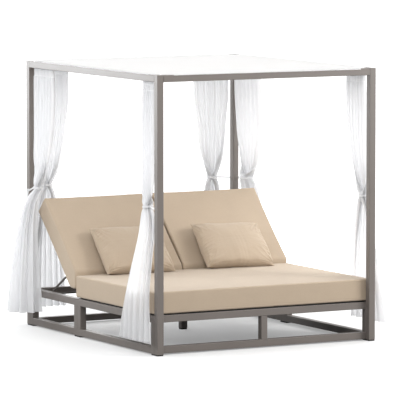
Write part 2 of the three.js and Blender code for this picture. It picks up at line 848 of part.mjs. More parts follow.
// Curtain places: how far the head, the tie and the hem stand from the post and from the beam,
// and the half spread along and across the beam there.
const beamMidX = innerX + tube / 2;
const beamMidY = moduleBack + tube / 2;
const bundleGap = 2;
const bundleStandOff = tieRadius + tieBandThickness + bundleGap;
const tieInset = 8;
const sideTieX = halfWidth - tieInset;
const headDepth = 20;
const headFold = 22;
const hemFold = 26;

const backHeadInset = 15;
const leftBackHeadFromPost = 200;
const rightBackHeadFromPost = 150;
const backHeadSpread = 155;
const backHeadFold = 30;
const backStrap = 85;
const bellOut = 120;
const bellFromPost = 150;
const bellSpread = 140;
const bellDepth = 125;
const bellFold = 14;
const bellHeight = 130;

const leftFrontHeadFromPost = 100;
const leftFrontHeadSpread = 84;
const leftFrontStrap = 77;
const leftFrontOut = 45;
const leftFrontFromPost = 210;
const leftFrontSpread = 270;
const leftFrontDepth = 30;
const leftFrontFold = 22;
const leftFrontHeight = 95;

const rightFrontHeadFromPost = 200;
const rightFrontHeadSpread = 130;
const rightFrontStrap = 45;
const rightFrontOut = 64;
const rightFrontFromPost = 185;
const rightFrontSpread = 240;
const rightFrontDepth = 48;
const rightFrontHeight = 130;

const rearOut = 42;
const rearTieOut = 5;
const rearHemSpread = 150;
const rearHemDepth = 34;
const rearHemHeight = 120;
const rearLeftHeadFromPost = 165;
const rearLeftHeadSpread = 138;
const rearLeftTieFromPost = 112;
const rearLeftHemFromPost = 140;
const rearRightHeadFromPost = 180;
const rearRightHeadSpread = 160;
const rearRightTieFromPost = 167;
const rearRightHemFromPost = 140;

const headLook = { across: headDepth, close: headCloseShare };
const bell = {
  y: moduleBack - bellFromPost,
  along: bellSpread,
  across: bellDepth,
  close: bellCloseShare,
  fold: bellFold,
  z: bellHeight,
};
const rearHem = {
  y: halfDepth + rearOut,
  along: rearHemSpread,
  across: rearHemDepth,
  close: rearCloseShare,
  fold: hemFold,
  z: rearHemHeight,
};

const curtains = {
  curtain_left_back: {
    alongY: true,
    outward: -1,
    head: {
      ...headLook,
      x: backHeadInset - beamMidX,
      y: moduleBack - leftBackHeadFromPost,
      along: backHeadSpread,
      fold: backHeadFold,
    },
    tie: { x: -sideTieX, y: moduleBack - bundleStandOff - backStrap },
    hem: { ...bell, x: -halfWidth - bellOut },
    below: leftBackShares,
    above: backHeadShares,
  },
  curtain_right_back: {
    alongY: true,
    outward: 1,
    head: {
      ...headLook,
      x: beamMidX - backHeadInset,
      y: moduleBack - rightBackHeadFromPost,
      along: backHeadSpread,
      fold: backHeadFold,
    },
    tie: { x: sideTieX, y: moduleBack - bundleStandOff - backStrap },
    hem: { ...bell, x: halfWidth + bellOut },
    below: leftBackShares,
    above: backHeadShares,
  },
  curtain_left_front: {
    alongY: true,
    outward: -1,
    head: {
      ...headLook,
      x: -beamMidX,
      y: moduleFront + leftFrontHeadFromPost,
      along: leftFrontHeadSpread,
      fold: headFold,
    },
    tie: { x: -sideTieX, y: moduleFront + bundleStandOff + leftFrontStrap },
    hem: {
      x: -halfWidth - leftFrontOut,
      y: moduleFront + leftFrontFromPost,
      along: leftFrontSpread,
      across: leftFrontDepth,
      close: leftFrontCloseShare,
      fold: leftFrontFold,
      z: leftFrontHeight,
    },
    below: leftFrontShares,
    above: leftFrontHeadShares,
  },
  curtain_right_front: {
    alongY: true,
    outward: 1,
    head: {
      ...headLook,
      x: beamMidX,
      y: moduleFront + rightFrontHeadFromPost,
      along: rightFrontHeadSpread,
      fold: headFold,
    },
    tie: { x: sideTieX, y: moduleFront + bundleStandOff + rightFrontStrap },
    hem: {
      x: halfWidth + rightFrontOut,
      y: moduleFront + rightFrontFromPost,
      along: rightFrontSpread,
      across: rightFrontDepth,
      close: rightFrontCloseShare,
      fold: hemFold,
      z: rightFrontHeight,
    },
    below: rightFrontShares,
    above: rightFrontHeadShares,
  },
  curtain_back_left: {
    alongY: false,
    outward: 1,
    head: {
      ...headLook,
      x: rearLeftHeadFromPost - innerX,
      y: beamMidY,
      along: rearLeftHeadSpread,
      fold: headFold,
    },
    tie: { x: rearLeftTieFromPost - innerX, y: beamMidY + rearTieOut },
    hem: { ...rearHem, x: rearLeftHemFromPost - innerX },
    below: evenShares,
    above: rearHeadShares,
  },
  curtain_back_right: {
    alongY: false,
    outward: 1,
    head: {
      ...headLook,
      x: innerX - rearRightHeadFromPost,
      y: beamMidY,
      along: rearRightHeadSpread,
      fold: headFold,
    },
    tie: { x: innerX - rearRightTieFromPost, y: beamMidY + rearTieOut },
    hem: { ...rearHem, x: innerX - rearRightHemFromPost },
    below: evenShares,
    above: rearHeadShares,
  },
};

Object.entries(curtains).forEach(([name, places]) => {
  curtain(name, curtainLevels(places), places.alongY, places.outward);
});

// Tie-backs: a band round each bundle with a strap that reaches back to its post
const bandSides = 20;

function tieBack(name, places) {
  const { x, y } = places.tie;
  const low = tieHeight - tieBandHeight / 2;
  const high = tieHeight + tieBandHeight / 2;
  const strapHalf = tieBandThickness / 2;
  const ring = (radius, height) => {
    const geometry = new THREE.CylinderGeometry(radius, radius, height, bandSides);
    geometry.rotateX(Math.PI / 2);
    geometry.translate(x, y, tieHeight);
    return geometry;
  };
  const towards = places.alongY ? Math.sign(y) : Math.sign(x);
  const faceY = y < 0 ? moduleFront : moduleBack;
  const faceX = towards * (innerX - fit);
  const strap = places.alongY
    ? block(point(x - strapHalf, Math.min(y, faceY), low), point(x + strapHalf, Math.max(y, faceY), high))
    : block(point(Math.min(x, faceX), y - strapHalf, low), point(Math.max(x, faceX), y + strapHalf, high));
  const band = toSolid(ring(tieRadius + tieBandThickness, tieBandHeight)).add(toSolid(strap));
  addPiece(name, toGeometry(cutFrom(band, [ring(tieRadius, 2 * tieBandHeight)])), whiteVoile);
}

Object.entries(curtains).forEach(([name, places]) => {
  tieBack(name.replace('curtain', 'tie_back'), places);
});

// The origin is the middle of the whole footprint at floor level.
const footprint = new THREE.Box3().setFromObject(daybed);
daybed.position.x = -(footprint.min.x + footprint.max.x) / 2;
daybed.position.y = -(footprint.min.y + footprint.max.y) / 2;

export default daybed;
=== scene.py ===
"""Outdoor daybed with a canopy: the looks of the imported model.

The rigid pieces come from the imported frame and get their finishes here. The cushions, pillows,
roof cloth, curtains and tie-backs are made here as cloth and padding, in metres, in the frame of
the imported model: X across the bed, +Y towards the head end, +Z up.
"""

import json
import math

import bpy
import numpy as np
from bpy.props import FloatProperty, FloatVectorProperty, IntProperty, PointerProperty
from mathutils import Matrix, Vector, noise


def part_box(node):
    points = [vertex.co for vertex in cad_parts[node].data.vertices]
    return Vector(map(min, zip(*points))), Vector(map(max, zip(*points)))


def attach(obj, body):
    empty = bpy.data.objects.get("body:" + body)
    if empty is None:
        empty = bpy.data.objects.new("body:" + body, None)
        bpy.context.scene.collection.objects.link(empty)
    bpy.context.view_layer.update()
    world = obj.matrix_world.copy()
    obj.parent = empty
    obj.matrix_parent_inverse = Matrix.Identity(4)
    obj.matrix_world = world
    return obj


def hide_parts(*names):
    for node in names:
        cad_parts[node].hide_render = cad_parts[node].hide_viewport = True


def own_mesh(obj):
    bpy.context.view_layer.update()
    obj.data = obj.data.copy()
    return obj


bl_info = {
    "name": "Outdoor daybed with canopy",
    "version": (1, 0, 0),
    "blender": (4, 5, 0),
    "location": "View3D > Sidebar > Daybed",
    "description": "Dresses the frame of an outdoor daybed with cushions, curtains and a roof cloth",
    "category": "Object",
}

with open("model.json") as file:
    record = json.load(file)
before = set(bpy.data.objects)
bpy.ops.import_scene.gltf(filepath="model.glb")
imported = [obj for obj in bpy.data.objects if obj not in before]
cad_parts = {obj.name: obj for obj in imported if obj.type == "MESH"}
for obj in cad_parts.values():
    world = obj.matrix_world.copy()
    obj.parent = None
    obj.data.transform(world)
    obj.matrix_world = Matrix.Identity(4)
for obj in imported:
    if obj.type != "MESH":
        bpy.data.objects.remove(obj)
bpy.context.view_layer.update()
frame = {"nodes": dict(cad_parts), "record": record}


def corners_of(node):
    """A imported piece's lowest and highest corner."""
    low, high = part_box(node)
    return np.array(low), np.array(high)


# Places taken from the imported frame
POST_FRONT_LOW, POST_FRONT_HIGH = corners_of("post_front_left")
POST_BACK_LOW, POST_BACK_HIGH = corners_of("post_back_left")
BEAM_LOW, BEAM_HIGH = corners_of("beam_left")
SEAT_LOW, SEAT_HIGH = corners_of("seat_cushion")
HINGE_LOW, HINGE_HIGH = corners_of("hinge_rod_left")
HALF_WIDTH = float(-POST_FRONT_LOW[0])
INNER_X = float(-POST_FRONT_HIGH[0])
MODULE_FRONT, MODULE_BACK = float(BEAM_LOW[1]), float(BEAM_HIGH[1])
OUTER_FRONT, OUTER_BACK = float(POST_FRONT_LOW[1]), float(POST_BACK_HIGH[1])
BEAM_UNDERSIDE, BEAM_TOP = float(BEAM_LOW[2]), float(BEAM_HIGH[2])
HINGE_Y, HINGE_Z = (float(value) for value in (HINGE_LOW + HINGE_HIGH)[1:] / 2)
MID_Y = (MODULE_FRONT + MODULE_BACK) / 2

# Reclined backs: sizes along the panel from the hinge axis and out of it
RECLINE = math.radians(45)
BACK_LIFT = 0.119
BACK_LENGTH = 0.7045
BACK_UNDERSIDE = 0.0153
BACK_GAP = 0.007
SIDES = ((-1, "left"), (1, "right"))

# Height of the tie-backs, half the height that they clasp, and their width
TIE_HEIGHT = 1.045
BAND_REACH = 0.009
BAND_WIDTH = 0.016


# Sizes and colours that a user may change

def length_setting(name, description, default, low, high):
    return FloatProperty(name=name, description=description, default=default, min=low, max=high,
                         unit="LENGTH")


def count_setting(name, description, default, low, high):
    return IntProperty(name=name, description=description, default=default, min=low, max=high)


def colour_setting(name, description, default):
    return FloatVectorProperty(name=name, description=description, subtype="COLOR_GAMMA", size=3,
                               min=0, max=1, default=default)


class DaybedSizes(bpy.types.PropertyGroup):
    cushion_edge: length_setting("Cushion edge", "Radius of the cushions' sewn edges", 0.013, 0.004, 0.03)
    seat_thickness: length_setting(
        "Seat thickness", "Height of the seat cushion's side, without its crown", 0.157, 0.08, 0.25)
    back_thickness: length_setting(
        "Back thickness", "Thickness of the back cushions, without their crown", 0.156, 0.08, 0.25)
    crown: length_setting("Crown", "How far a cushion's face rises over its edges", 0.005, 0.0, 0.03)
    pillow_width: length_setting(
        "Pillow width", "Width of a scatter pillow from corner to corner", 0.577, 0.3, 0.8)
    pillow_height: length_setting(
        "Pillow height", "Height of a scatter pillow from corner to corner", 0.428, 0.3, 0.8)
    pillow_loft: length_setting("Pillow loft", "Thickness of a filled scatter pillow", 0.150, 0.08, 0.25)
    pleats: count_setting("Pleats", "Fine pleats across one curtain", 18, 8, 30)
    broad_folds: count_setting("Broad folds", "Broad folds at the hem of one curtain", 6, 3, 10)
    cloth_thickness: length_setting(
        "Voile thickness", "Thickness of the curtain cloth with its air", 0.0008, 0.0003, 0.003)


class DaybedColours(bpy.types.PropertyGroup):
    taupe: colour_setting("Frame taupe", "sRGB colour of the powder coat", (0.430, 0.403, 0.384))
    sand: colour_setting("Cushion sand", "sRGB colour of the cushion fabric", (0.684, 0.616, 0.536))
    voile: colour_setting("Voile white", "sRGB colour of the curtains", (0.972, 0.973, 0.977))


def sizes():
    return bpy.context.scene.daybed_sizes


def colours():
    return bpy.context.scene.daybed_colours


# Materials

def linear(colour):
    """An sRGB hex string, or three sRGB shares from 0 to 1, as linear colour with alpha."""
    if isinstance(colour, str):
        colour = [int(colour[i:i + 2], 16) / 255 for i in (1, 3, 5)]
    return [c / 12.92 if c <= 0.04045 else ((c + 0.055) / 1.055) ** 2.4 for c in colour] + [1.0]


def shaded(colour, share):
    """A share of an sRGB colour's light, as linear colour."""
    return [c * share for c in linear(colour)[:3]] + [1.0]


def add(tree, kind, values=None):
    """Adds one node. values holds properties by name and inputs by name or number: an output
    socket is linked, and anything else is typed in."""
    node = tree.nodes.new("ShaderNode" + kind)
    for key, value in (values or {}).items():
        if isinstance(value, bpy.types.NodeSocket):
            tree.links.new(value, node.inputs[key])
        elif isinstance(key, str) and hasattr(node, key) and key not in node.inputs:
            setattr(node, key, value)
        else:
            node.inputs[key].default_value = value
    return node


def maths(tree, operation, *terms):
    return add(tree, "Math", {"operation": operation, **dict(enumerate(terms))}).outputs[0]


def blend(tree, share, low, high):
    """A colour between low and high."""
    return add(tree, "Mix", {"data_type": "RGBA", 0: share, 6: low, 7: high}).outputs[2]


def ranged(tree, value, low, high, start=0.0, end=1.0):
    """A value stretched so that start gives low and end gives high."""
    return add(tree, "MapRange", {"From Min": start, "From Max": end, "To Min": low,
                                  "To Max": high, "Value": value}).outputs["Result"]


def own_place(tree):
    return add(tree, "TexCoord").outputs["Object"]


def split(tree, place):
    return add(tree, "SeparateXYZ", {"Vector": place}).outputs


def pattern(tree, kind, grain, values=None):
    """A texture in the object's own metres. grain is the size of its features in metres, one
    for all directions or one each for X, Y and Z."""
    grains = grain if isinstance(grain, tuple) else (grain,) * 3
    scaled = add(tree, "Mapping", {"Scale": tuple(1 / g for g in grains), "Vector": own_place(tree)})
    values = {"Scale": 1.0, "Vector": scaled.outputs["Vector"], **(values or {})}
    return add(tree, "Tex" + kind, values).outputs[0]


def bumped(tree, height, strength, depth):
    values = {"Strength": strength, "Distance": depth, "Height": height}
    return add(tree, "Bump", values).outputs["Normal"]


def principled(tree, tone, normal, values):
    values = {**values, "Base Color": tone, "Normal": normal}
    return add(tree, "BsdfPrincipled", values).outputs[0]


def mixed(tree, share, first, second):
    return add(tree, "MixShader", {0: share, 1: first, 2: second}).outputs[0]


def new_material(name):
    material = bpy.data.materials.new(name)
    material.use_nodes = True
    material.node_tree.nodes.clear()
    return material, material.node_tree


def finished(material, shader):
    add(material.node_tree, "OutputMaterial", {"Surface": shader})
    return material


def powder_coated_aluminium():
    """Extruded aluminium tube, electrostatically sprayed with taupe polyester powder and baked.
    The eye gets an even satin skin with a fine orange peel, and its corners carry a slightly paler
    painted highlight."""
    material, tree = new_material("powder_coated_aluminium_taupe")
    # Orange peel has ripples about 1.5 mm across: drawn at 3 mm so that it shows close up.
    peel = pattern(tree, "Noise", 0.003, {"Detail": 2.0})
    # The coat is cloudy over about 350 mm.
    cloud = pattern(tree, "Noise", 0.35, {"Detail": 3.0})
    taupe = colours().taupe
    tone = blend(tree, cloud, shaded(taupe, 0.93), shaded(taupe, 1.07))
    # Dark hairlines where the beams butt against the posts, drawn 2.4 mm wide
    x, y, z = split(tree, own_place(tree))
    near = []
    for value, middle, half in ((x, 0.0, INNER_X), (y, MID_Y, (MODULE_BACK - MODULE_FRONT) / 2)):
        away = maths(tree, "ABSOLUTE", maths(tree, "SUBTRACT", value, middle))
        near.append(maths(tree, "COMPARE", away, half, 0.0012))
    at_top = maths(tree, "GREATER_THAN", z, BEAM_UNDERSIDE - 0.0005)
    joint = maths(tree, "MULTIPLY", maths(tree, "MAXIMUM", *near), at_top)
    # Painted highlight on the corners: paler where the rounded normal leaves the true one, within 2.5 mm
    # of an edge.
    soft = add(tree, "Bevel", {"samples": 4, "Radius": 0.0025}).outputs["Normal"]
    true = add(tree, "NewGeometry").outputs["True Normal"]
    alike = add(tree, "VectorMath", {"operation": "DOT_PRODUCT", 0: soft, 1: true}).outputs["Value"]
    painted_edge_highlight = ranged(tree, alike, 0.0, 0.35, start=0.99, end=0.86)
    tone_with_edge_highlight = blend(tree, painted_edge_highlight, tone, linear("#99928C"))
    seamed = blend(tree, joint, tone_with_edge_highlight, linear("#4A4541"))
    skin = principled(tree, seamed, bumped(tree, peel, 0.12, 0.0004), {
        "Metallic": 0.0, "IOR": 1.5, "Coat Weight": 0.22, "Coat Roughness": 0.38,
        "Roughness": ranged(tree, cloud, 0.40, 0.50)})
    return finished(material, skin)


def moulded_nylon():
    """Injection-moulded nylon glides. Matt black with a fine spark-eroded grain."""
    material, tree = new_material("moulded_nylon_black")
    # Mould grain of 0.4 mm, drawn at 1.5 mm
    grain = pattern(tree, "Voronoi", 0.0015)
    tone = blend(tree, grain, linear("#161514"), linear("#242220"))
    body = principled(tree, tone, bumped(tree, grain, 0.25, 0.0003), {"Roughness": 0.55, "IOR": 1.53})
    return finished(material, body)


def film_faced_plywood():
    """Birch plywood faced with a dark phenolic film, hot-pressed with a wire-mesh print.
    Almost black and dull, with a faint square grid."""
    material, tree = new_material("film_faced_plywood_black")
    # Mesh print at 6 mm, its real size
    cells = pattern(tree, "Voronoi", 0.006, {"distance": "CHEBYCHEV", "Randomness": 0.0})
    tone = blend(tree, cells, linear("#100E0D"), linear("#1A1816"))
    body = principled(tree, tone, bumped(tree, cells, 0.3, 0.0004), {"Roughness": 0.62, "IOR": 1.5})
    return finished(material, body)


def dip_painted_steel():
    """Flat steel bar and rod, phosphated and dip-painted black. Satin, with drawn lines and
    small dull patches."""
    material, tree = new_material("dip_painted_steel_black")
    # Lines from drawing the bar are hair-fine: drawn 1.2 mm apart and 60 mm long.
    lines = pattern(tree, "Noise", (0.0012, 0.06, 0.06), {"Detail": 2.0})
    # The dull patches are about 30 mm across.
    patch = pattern(tree, "Noise", 0.03, {"Detail": 3.0})
    tone = blend(tree, patch, linear("#433E3A"), linear("#5A544F"))
    body = principled(tree, tone, bumped(tree, lines, 0.15, 0.0003), {
        "Metallic": 0.25, "Roughness": ranged(tree, patch, 0.32, 0.6)})
    return finished(material, body)


def woven_cushion_fabric():
    """Spun polyester canvas, yarn-dyed and plain-woven, over foam. Matt sand colour with a soft
    bloom at grazing angles, slubs in the yarn and a square weave."""
    material, tree = new_material("woven_polyester_canvas_sand")
    x, y, z = split(tree, own_place(tree))
    # Threads lie 0.7 mm apart: drawn at 2.4 mm, the coarsest that still reads as canvas. They run
    # along the bed's axes and along the slope of the reclined backs.
    heights = []
    for source in (x, maths(tree, "ADD", y, z), maths(tree, "SUBTRACT", y, z)):
        heights.append(maths(tree, "SINE", maths(tree, "MULTIPLY", source, 2 * math.pi / 0.0024)))
    weave = maths(tree, "ADD", maths(tree, "ADD", heights[0], heights[1]), heights[2])
    # Slubs are thick places in the yarn, 10 to 20 mm long.
    slub = pattern(tree, "Noise", (0.018, 0.004, 0.004), {"Detail": 2.0})
    # The dye is uneven over about 220 mm.
    cloud = pattern(tree, "Noise", 0.22, {"Detail": 3.0})
    sand = colours().sand
    shade = blend(tree, cloud, shaded(sand, 0.94), shaded(sand, 1.06))
    flecks = ranged(tree, slub, 0.0, 0.22, start=0.35, end=0.7)
    tone = blend(tree, flecks, shade, shaded(sand, 0.86))
    cloth = principled(tree, tone, bumped(tree, weave, 0.10, 0.0006), {
        "Roughness": 0.92, "IOR": 1.45, "Sheen Weight": 0.20, "Sheen Roughness": 0.6,
        "Sheen Tint": linear("#F8F4EE")})
    return finished(material, cloth)


def voile():
    """Outdoor polyester voile, open plain weave. A cool white that glows where light comes from
    behind, and looks denser where the header tape folds it double."""
    material, tree = new_material("outdoor_voile_white")
    # Open weave of 0.4 mm: drawn at 2 mm
    weave = pattern(tree, "Noise", 0.002, {"Detail": 1.0})
    white = colours().voile
    tone = blend(tree, weave, shaded(white, 0.97), linear(white))
    normal = bumped(tree, weave, 0.08, 0.0003)
    cloth = principled(tree, tone, normal, {
        "Roughness": 0.85, "IOR": 1.45, "Sheen Weight": 0.15, "Sheen Roughness": 0.5})
    through = add(tree, "BsdfTranslucent", {"Color": tone, "Normal": normal}).outputs[0]
    lit = mixed(tree, 0.50, cloth, through)
    # The holes of the weave let a part of the view through. The 60 mm tape at the head fills them.
    height = split(tree, own_place(tree))["Z"]
    holes = ranged(tree, height, 0.29, 0.12, start=BEAM_UNDERSIDE - 0.062, end=BEAM_UNDERSIDE - 0.058)
    return finished(material, mixed(tree, holes, lit, add(tree, "BsdfTransparent").outputs[0]))


def coated_canopy_textile():
    """Polyester roof textile with an acrylic water-repellent coat. A flat, dense white with a
    fine canvas grain, and daylight comes through it softly."""
    material, tree = new_material("coated_canopy_textile_white")
    # Canvas grain of 1 mm, drawn at 2.5 mm
    grain = pattern(tree, "Noise", 0.0025, {"Detail": 2.0})
    tone = blend(tree, grain, linear("#F6F6F6"), linear("#FDFDFD"))
    cloth = principled(tree, tone, bumped(tree, grain, 0.1, 0.0004), {"Roughness": 0.8, "IOR": 1.45})
    through = add(tree, "BsdfTranslucent", {"Color": tone}).outputs[0]
    return finished(material, mixed(tree, 0.5, cloth, through))


MAKERS = {
    "frame": powder_coated_aluminium,
    "glide": moulded_nylon,
    "deck": film_faced_plywood,
    "hardware": dip_painted_steel,
    "cushion": woven_cushion_fabric,
    "voile": voile,
    "roof": coated_canopy_textile,
}
materials = {}


def finish_of(name):
    """The finish of that name, made once."""
    if name not in materials:
        materials[name] = MAKERS[name]()
    return materials[name]


# Mesh helpers

def new_object(name, vertices, faces):
    mesh = bpy.data.meshes.new(name)
    mesh.from_pydata([tuple(v) for v in vertices], [], [tuple(f) for f in faces])
    thing = bpy.data.objects.new(name, mesh)
    bpy.context.scene.collection.objects.link(thing)
    return thing


def new_piece(name, vertices, faces, finish, body):
    """A smooth piece with a finish, which rides on a body of the frame."""
    piece = new_object(name, vertices, faces)
    piece.data.validate()
    piece.data.polygons.foreach_set("use_smooth", [True] * len(piece.data.polygons))
    piece.data.materials.append(finish_of(finish))
    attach(piece, body)
    return piece


def taken_off(thing):
    """The points and faces that an object's modifiers make. The object itself goes."""
    result = thing.evaluated_get(bpy.context.evaluated_depsgraph_get())
    mesh = result.to_mesh()
    flat = np.zeros(len(mesh.vertices) * 3)
    mesh.vertices.foreach_get("co", flat)
    faces = [tuple(p.vertices) for p in mesh.polygons]
    result.to_mesh_clear()
    bpy.data.objects.remove(thing)
    return flat.reshape(-1, 3).copy(), faces


def thin_shell(grid, thickness, wrap=False):
    """A closed sheet of even thickness about a grid of points (rows, columns, 3). wrap joins the
    last column to the first."""
    rows, columns = grid.shape[:2]
    down = np.gradient(grid, axis=0)
    if wrap:
        across = (np.roll(grid, -1, axis=1) - np.roll(grid, 1, axis=1)) / 2
    else:
        across = np.gradient(grid, axis=1)
    normal = np.cross(across, down)
    normal /= np.linalg.norm(normal, axis=2, keepdims=True) + 1e-12
    front = (grid + normal * thickness / 2).reshape(-1, 3)
    back = (grid - normal * thickness / 2).reshape(-1, 3)
    offset = rows * columns
    bottom = offset - columns
    last = columns if wrap else columns - 1
    faces, borders = [], []
    for row in range(0, bottom, columns):
        for j in range(last):
            a, b = row + j, row + (j + 1) % columns
            c, d = b + columns, a + columns
            faces += [(a, b, c, d), (a + offset, d + offset, c + offset, b + offset)]
    for j in range(last):
        k = (j + 1) % columns
        borders += [(k, j), (bottom + j, bottom + k)]
    if not wrap:
        for row in range(0, bottom, columns):
            borders += [(row, row + columns), (row + 2 * columns - 1, row + columns - 1)]
    faces += [(a, b, b + offset, a + offset) for a, b in borders]
    return np.vstack([front, back]), faces


def merged(parts):
    """Several (vertices, faces) pairs as one."""
    vertices, faces, start = [], [], 0
    for points, polygons in parts:
        vertices.append(np.asarray(points))
        faces.extend(tuple(i + start for i in polygon) for polygon in polygons)
        start += len(points)
    return np.vstack(vertices), faces


def eased(x):
    """0 below 0, 1 above 1, and a soft S between."""
    x = np.clip(x, 0, 1)
    return x * x * (3 - 2 * x)


def bell(x, middle, width):
    """1 at the middle, falling away softly to both sides."""
    return np.exp(-(((x - middle) / width) ** 2))


def noise_at(points):
    return np.array([noise.noise(Vector(p)) for p in points])


def wander(points, scale, seed):
    """Smooth noise from -1 to 1 at each point, with features of about scale metres."""
    lift = Vector((seed * 7.31, seed * 3.17, seed * 5.71))
    return np.array([noise.noise(Vector(p) / scale + lift) for p in points])


def smooth_through(z, values, at):
    """Values at new heights on a curve through the given ones that never overshoots."""
    z, values, at = np.asarray(z, float), np.asarray(values, float), np.asarray(at, float)
    step = np.diff(z)
    rise = np.diff(values) / step
    slope = np.zeros(len(z))
    same = rise[:-1] * rise[1:] > 0
    slope[1:-1][same] = 2 / (1 / rise[:-1][same] + 1 / rise[1:][same])
    slope[0], slope[-1] = rise[0], rise[-1]
    i = np.clip(np.searchsorted(z, at) - 1, 0, len(z) - 2)
    t = (at - z[i]) / step[i]
    return ((2 * t**3 - 3 * t**2 + 1) * values[i] + (t**3 - 2 * t**2 + t) * step[i] * slope[i]
            + (3 * t**2 - 2 * t**3) * values[i + 1] + (t**3 - t**2) * step[i] * slope[i + 1])


# Boxed cushions

# A crease has a start and an end on the face, a depth and a width.
SEAT_CREASES = (
    ((-0.55, 0.36), (-0.20, 0.20), 0.0022, 0.012),
    ((0.15, 0.33), (0.58, 0.24), 0.0020, 0.013),
    ((-0.80, 0.10), (-0.62, -0.22), 0.0018, 0.011),
    ((0.42, -0.30), (0.80, -0.42), 0.0016, 0.012),
)
BACK_CREASES = (
    ((0.30, -0.16), (0.43, -0.12), 0.0018, 0.008),
    ((0.28, -0.05), (0.42, -0.07), 0.0014, 0.008),
    ((-0.42, 0.02), (-0.26, 0.06), 0.0016, 0.009),
    ((-0.30, 0.20), (-0.05, 0.14), 0.0012, 0.012),
)
# Outline of a back cushion's slumped end, up the panel and out of it, about its middle. Both
# ends of the outline dip into the cushion, where its surface goes on.
END_OUTLINE = (
    (0.156, 0.0290), (0.152, 0.0180), (0.142, 0.0152), (0.128, 0.0149), (0.112, 0.0160),
    (0.096, 0.0200), (0.080, 0.027), (0.060, 0.042), (0.040, 0.062), (0.030, 0.076),
    (0.029, 0.084), (0.038, 0.094), (0.056, 0.112), (0.076, 0.132), (0.092, 0.1475),
    (0.104, 0.1590), (0.113, 0.1665), (0.122, 0.1706), (0.132, 0.1718), (0.142, 0.1714),
    (0.151, 0.1690), (0.156, 0.1600),
)
END_MIDDLE = np.array([0.120, 0.092])
# How far a cushion's sides are drawn in half way between its corners
DRAW_IN = 0.004


def edge_lines(half, edge, count):
    """Grid lines along one side of a cushion: even in the middle and closer round the edges."""
    flat = half - edge
    near = [flat - 0.004, flat - 0.009]
    middle = [x for x in np.linspace(-flat, flat, count) if abs(x) < flat - 0.012]
    bend = [flat + edge * math.tan(math.radians(45) * k / 3) for k in range(4)]
    return sorted(middle + near + bend + [-x for x in near + bend])


def rounded_box(size, edge, counts):
    """A box with rounded edges as a grid of quads about its own middle. Returns each vertex's
    place as a share of the half size, its position, its outward direction, and the faces."""
    half = np.array(size) / 2
    lines = [edge_lines(h, edge, n) for h, n in zip(half, counts)]
    vertices, faces, index = [], [], {}

    def vertex(p):
        key = tuple(round(c, 6) for c in p)
        if key not in index:
            index[key] = len(vertices)
            vertices.append(p)
        return index[key]

    for axis in range(3):
        u, v = (axis + 1) % 3, (axis + 2) % 3
        for sign in (-1, 1):
            grid = []
            for a in lines[u]:
                row = []
                for b in lines[v]:
                    p = [0.0, 0.0, 0.0]
                    p[axis], p[u], p[v] = sign * half[axis], a, b
                    row.append(vertex(p))
                grid.append(row)
            for low, high in zip(grid, grid[1:]):
                for quad in zip(low, high, high[1:], low[1:]):
                    faces.append(quad if sign > 0 else quad[::-1])
    cube = np.array(vertices)
    inner = np.clip(cube, edge - half, half - edge)
    out = cube - inner
    out /= np.linalg.norm(out, axis=1, keepdims=True)
    return cube / half, inner + out * edge, out, faces


def cushion_surface(size, crown, seed, creases, counts):
    """A sewn, boxed foam cushion about the middle of its underside: crowned on top, drawn in
    between its corners, with a sunk seam round both edges and small puckers along it."""
    edge = sizes().cushion_edge
    share, position, out, faces = rounded_box(size, edge, counts)
    half = np.array(size) / 2
    u, v, w = share.T
    top = eased((w - 0.2) / 0.8)
    position[:, 2] += top * crown * (1 - u**2) * (1 - v**2) ** 0.8
    position[:, 0] -= np.sign(u) * np.abs(u) ** 3 * DRAW_IN * (1 - v**2)
    position[:, 1] -= np.sign(v) * np.abs(v) ** 3 * DRAW_IN * (1 - u**2)
    # The seam runs round the side 4 mm under the rounded edge, above and below, 1.1 mm deep.
    side = np.hypot(out[:, 0], out[:, 1]) > 0.99
    from_seam = np.abs(np.abs(share[:, 2] * half[2]) - (half[2] - edge - 0.004))
    position -= (side * bell(from_seam, 0, 0.0022) * 0.0011)[:, None] * out
    # Puckers: the boxing strip gathers along the seam, by 1.6 mm on the face at most.
    pucker = wander(position * np.array([1, 1, 0.35]), 0.035, seed)
    from_rim = np.minimum(half[0] * (1 - np.abs(u)), half[1] * (1 - np.abs(v)))
    on_top = np.exp(-from_rim / 0.035) * (np.abs(w) > 0.97)
    on_side = side * (0.35 + 0.65 * np.exp(-from_seam / 0.02))
    position += ((on_top * 0.0016 + on_side * 0.0013) * pucker)[:, None] * out
    # Foam shows broad, shallow unevenness through the cover.
    broad = wander(position, 0.30, seed + 1) * 0.0016 + wander(position, 0.09, seed + 2) * 0.0005
    position += (broad * (w > -0.5))[:, None] * out
    for start, end, depth, width in creases:
        start, run = np.array(start), np.subtract(end, start)
        t = np.clip(((position[:, :2] - start) @ run) / (run @ run), 0, 1)
        away = np.linalg.norm(position[:, :2] - start - t[:, None] * run, axis=1)
        fade = np.sin(math.pi * np.clip(t, 0.02, 0.98)) ** 0.5
        # The cloth rises a little to both sides of the crease.
        furrow = bell(away, 0, width) - 0.5 * bell(away, 2 * width, width)
        position[:, 2] -= top * depth * fade * furrow
    position[:, 2] += half[2]
    return position, faces


def on_back(points):
    """From a back's own places (across, up the panel, out of it) to the bed's frame."""
    c, s = math.cos(RECLINE), math.sin(RECLINE)
    x, along, out = np.asarray(points).T
    return np.stack([x, HINGE_Y + along * c - out * s, HINGE_Z + along * s + out * c], axis=1)


def back_piece(name, label, points, faces):
    """A piece that rides with one back's loose cushion, from the back's own places."""
    return new_piece(f"{name}_{label}", on_back(points), faces,
                     "cushion", f"cushion_{label}")


class DAYBED_OT_frame(bpy.types.Operator):
    """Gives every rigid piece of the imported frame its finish"""
    bl_idname = "daybed.frame"
    bl_label = "Frame finishes"

    def execute(self, context):
        for record in frame["record"]["subparts"]:
            if record["material_slot"] in ("cushion", "voile"):
                continue
            for material_slot in frame["nodes"][record["node"]].material_slots:
                material_slot.material = finish_of(record["material_slot"])
        return {"FINISHED"}


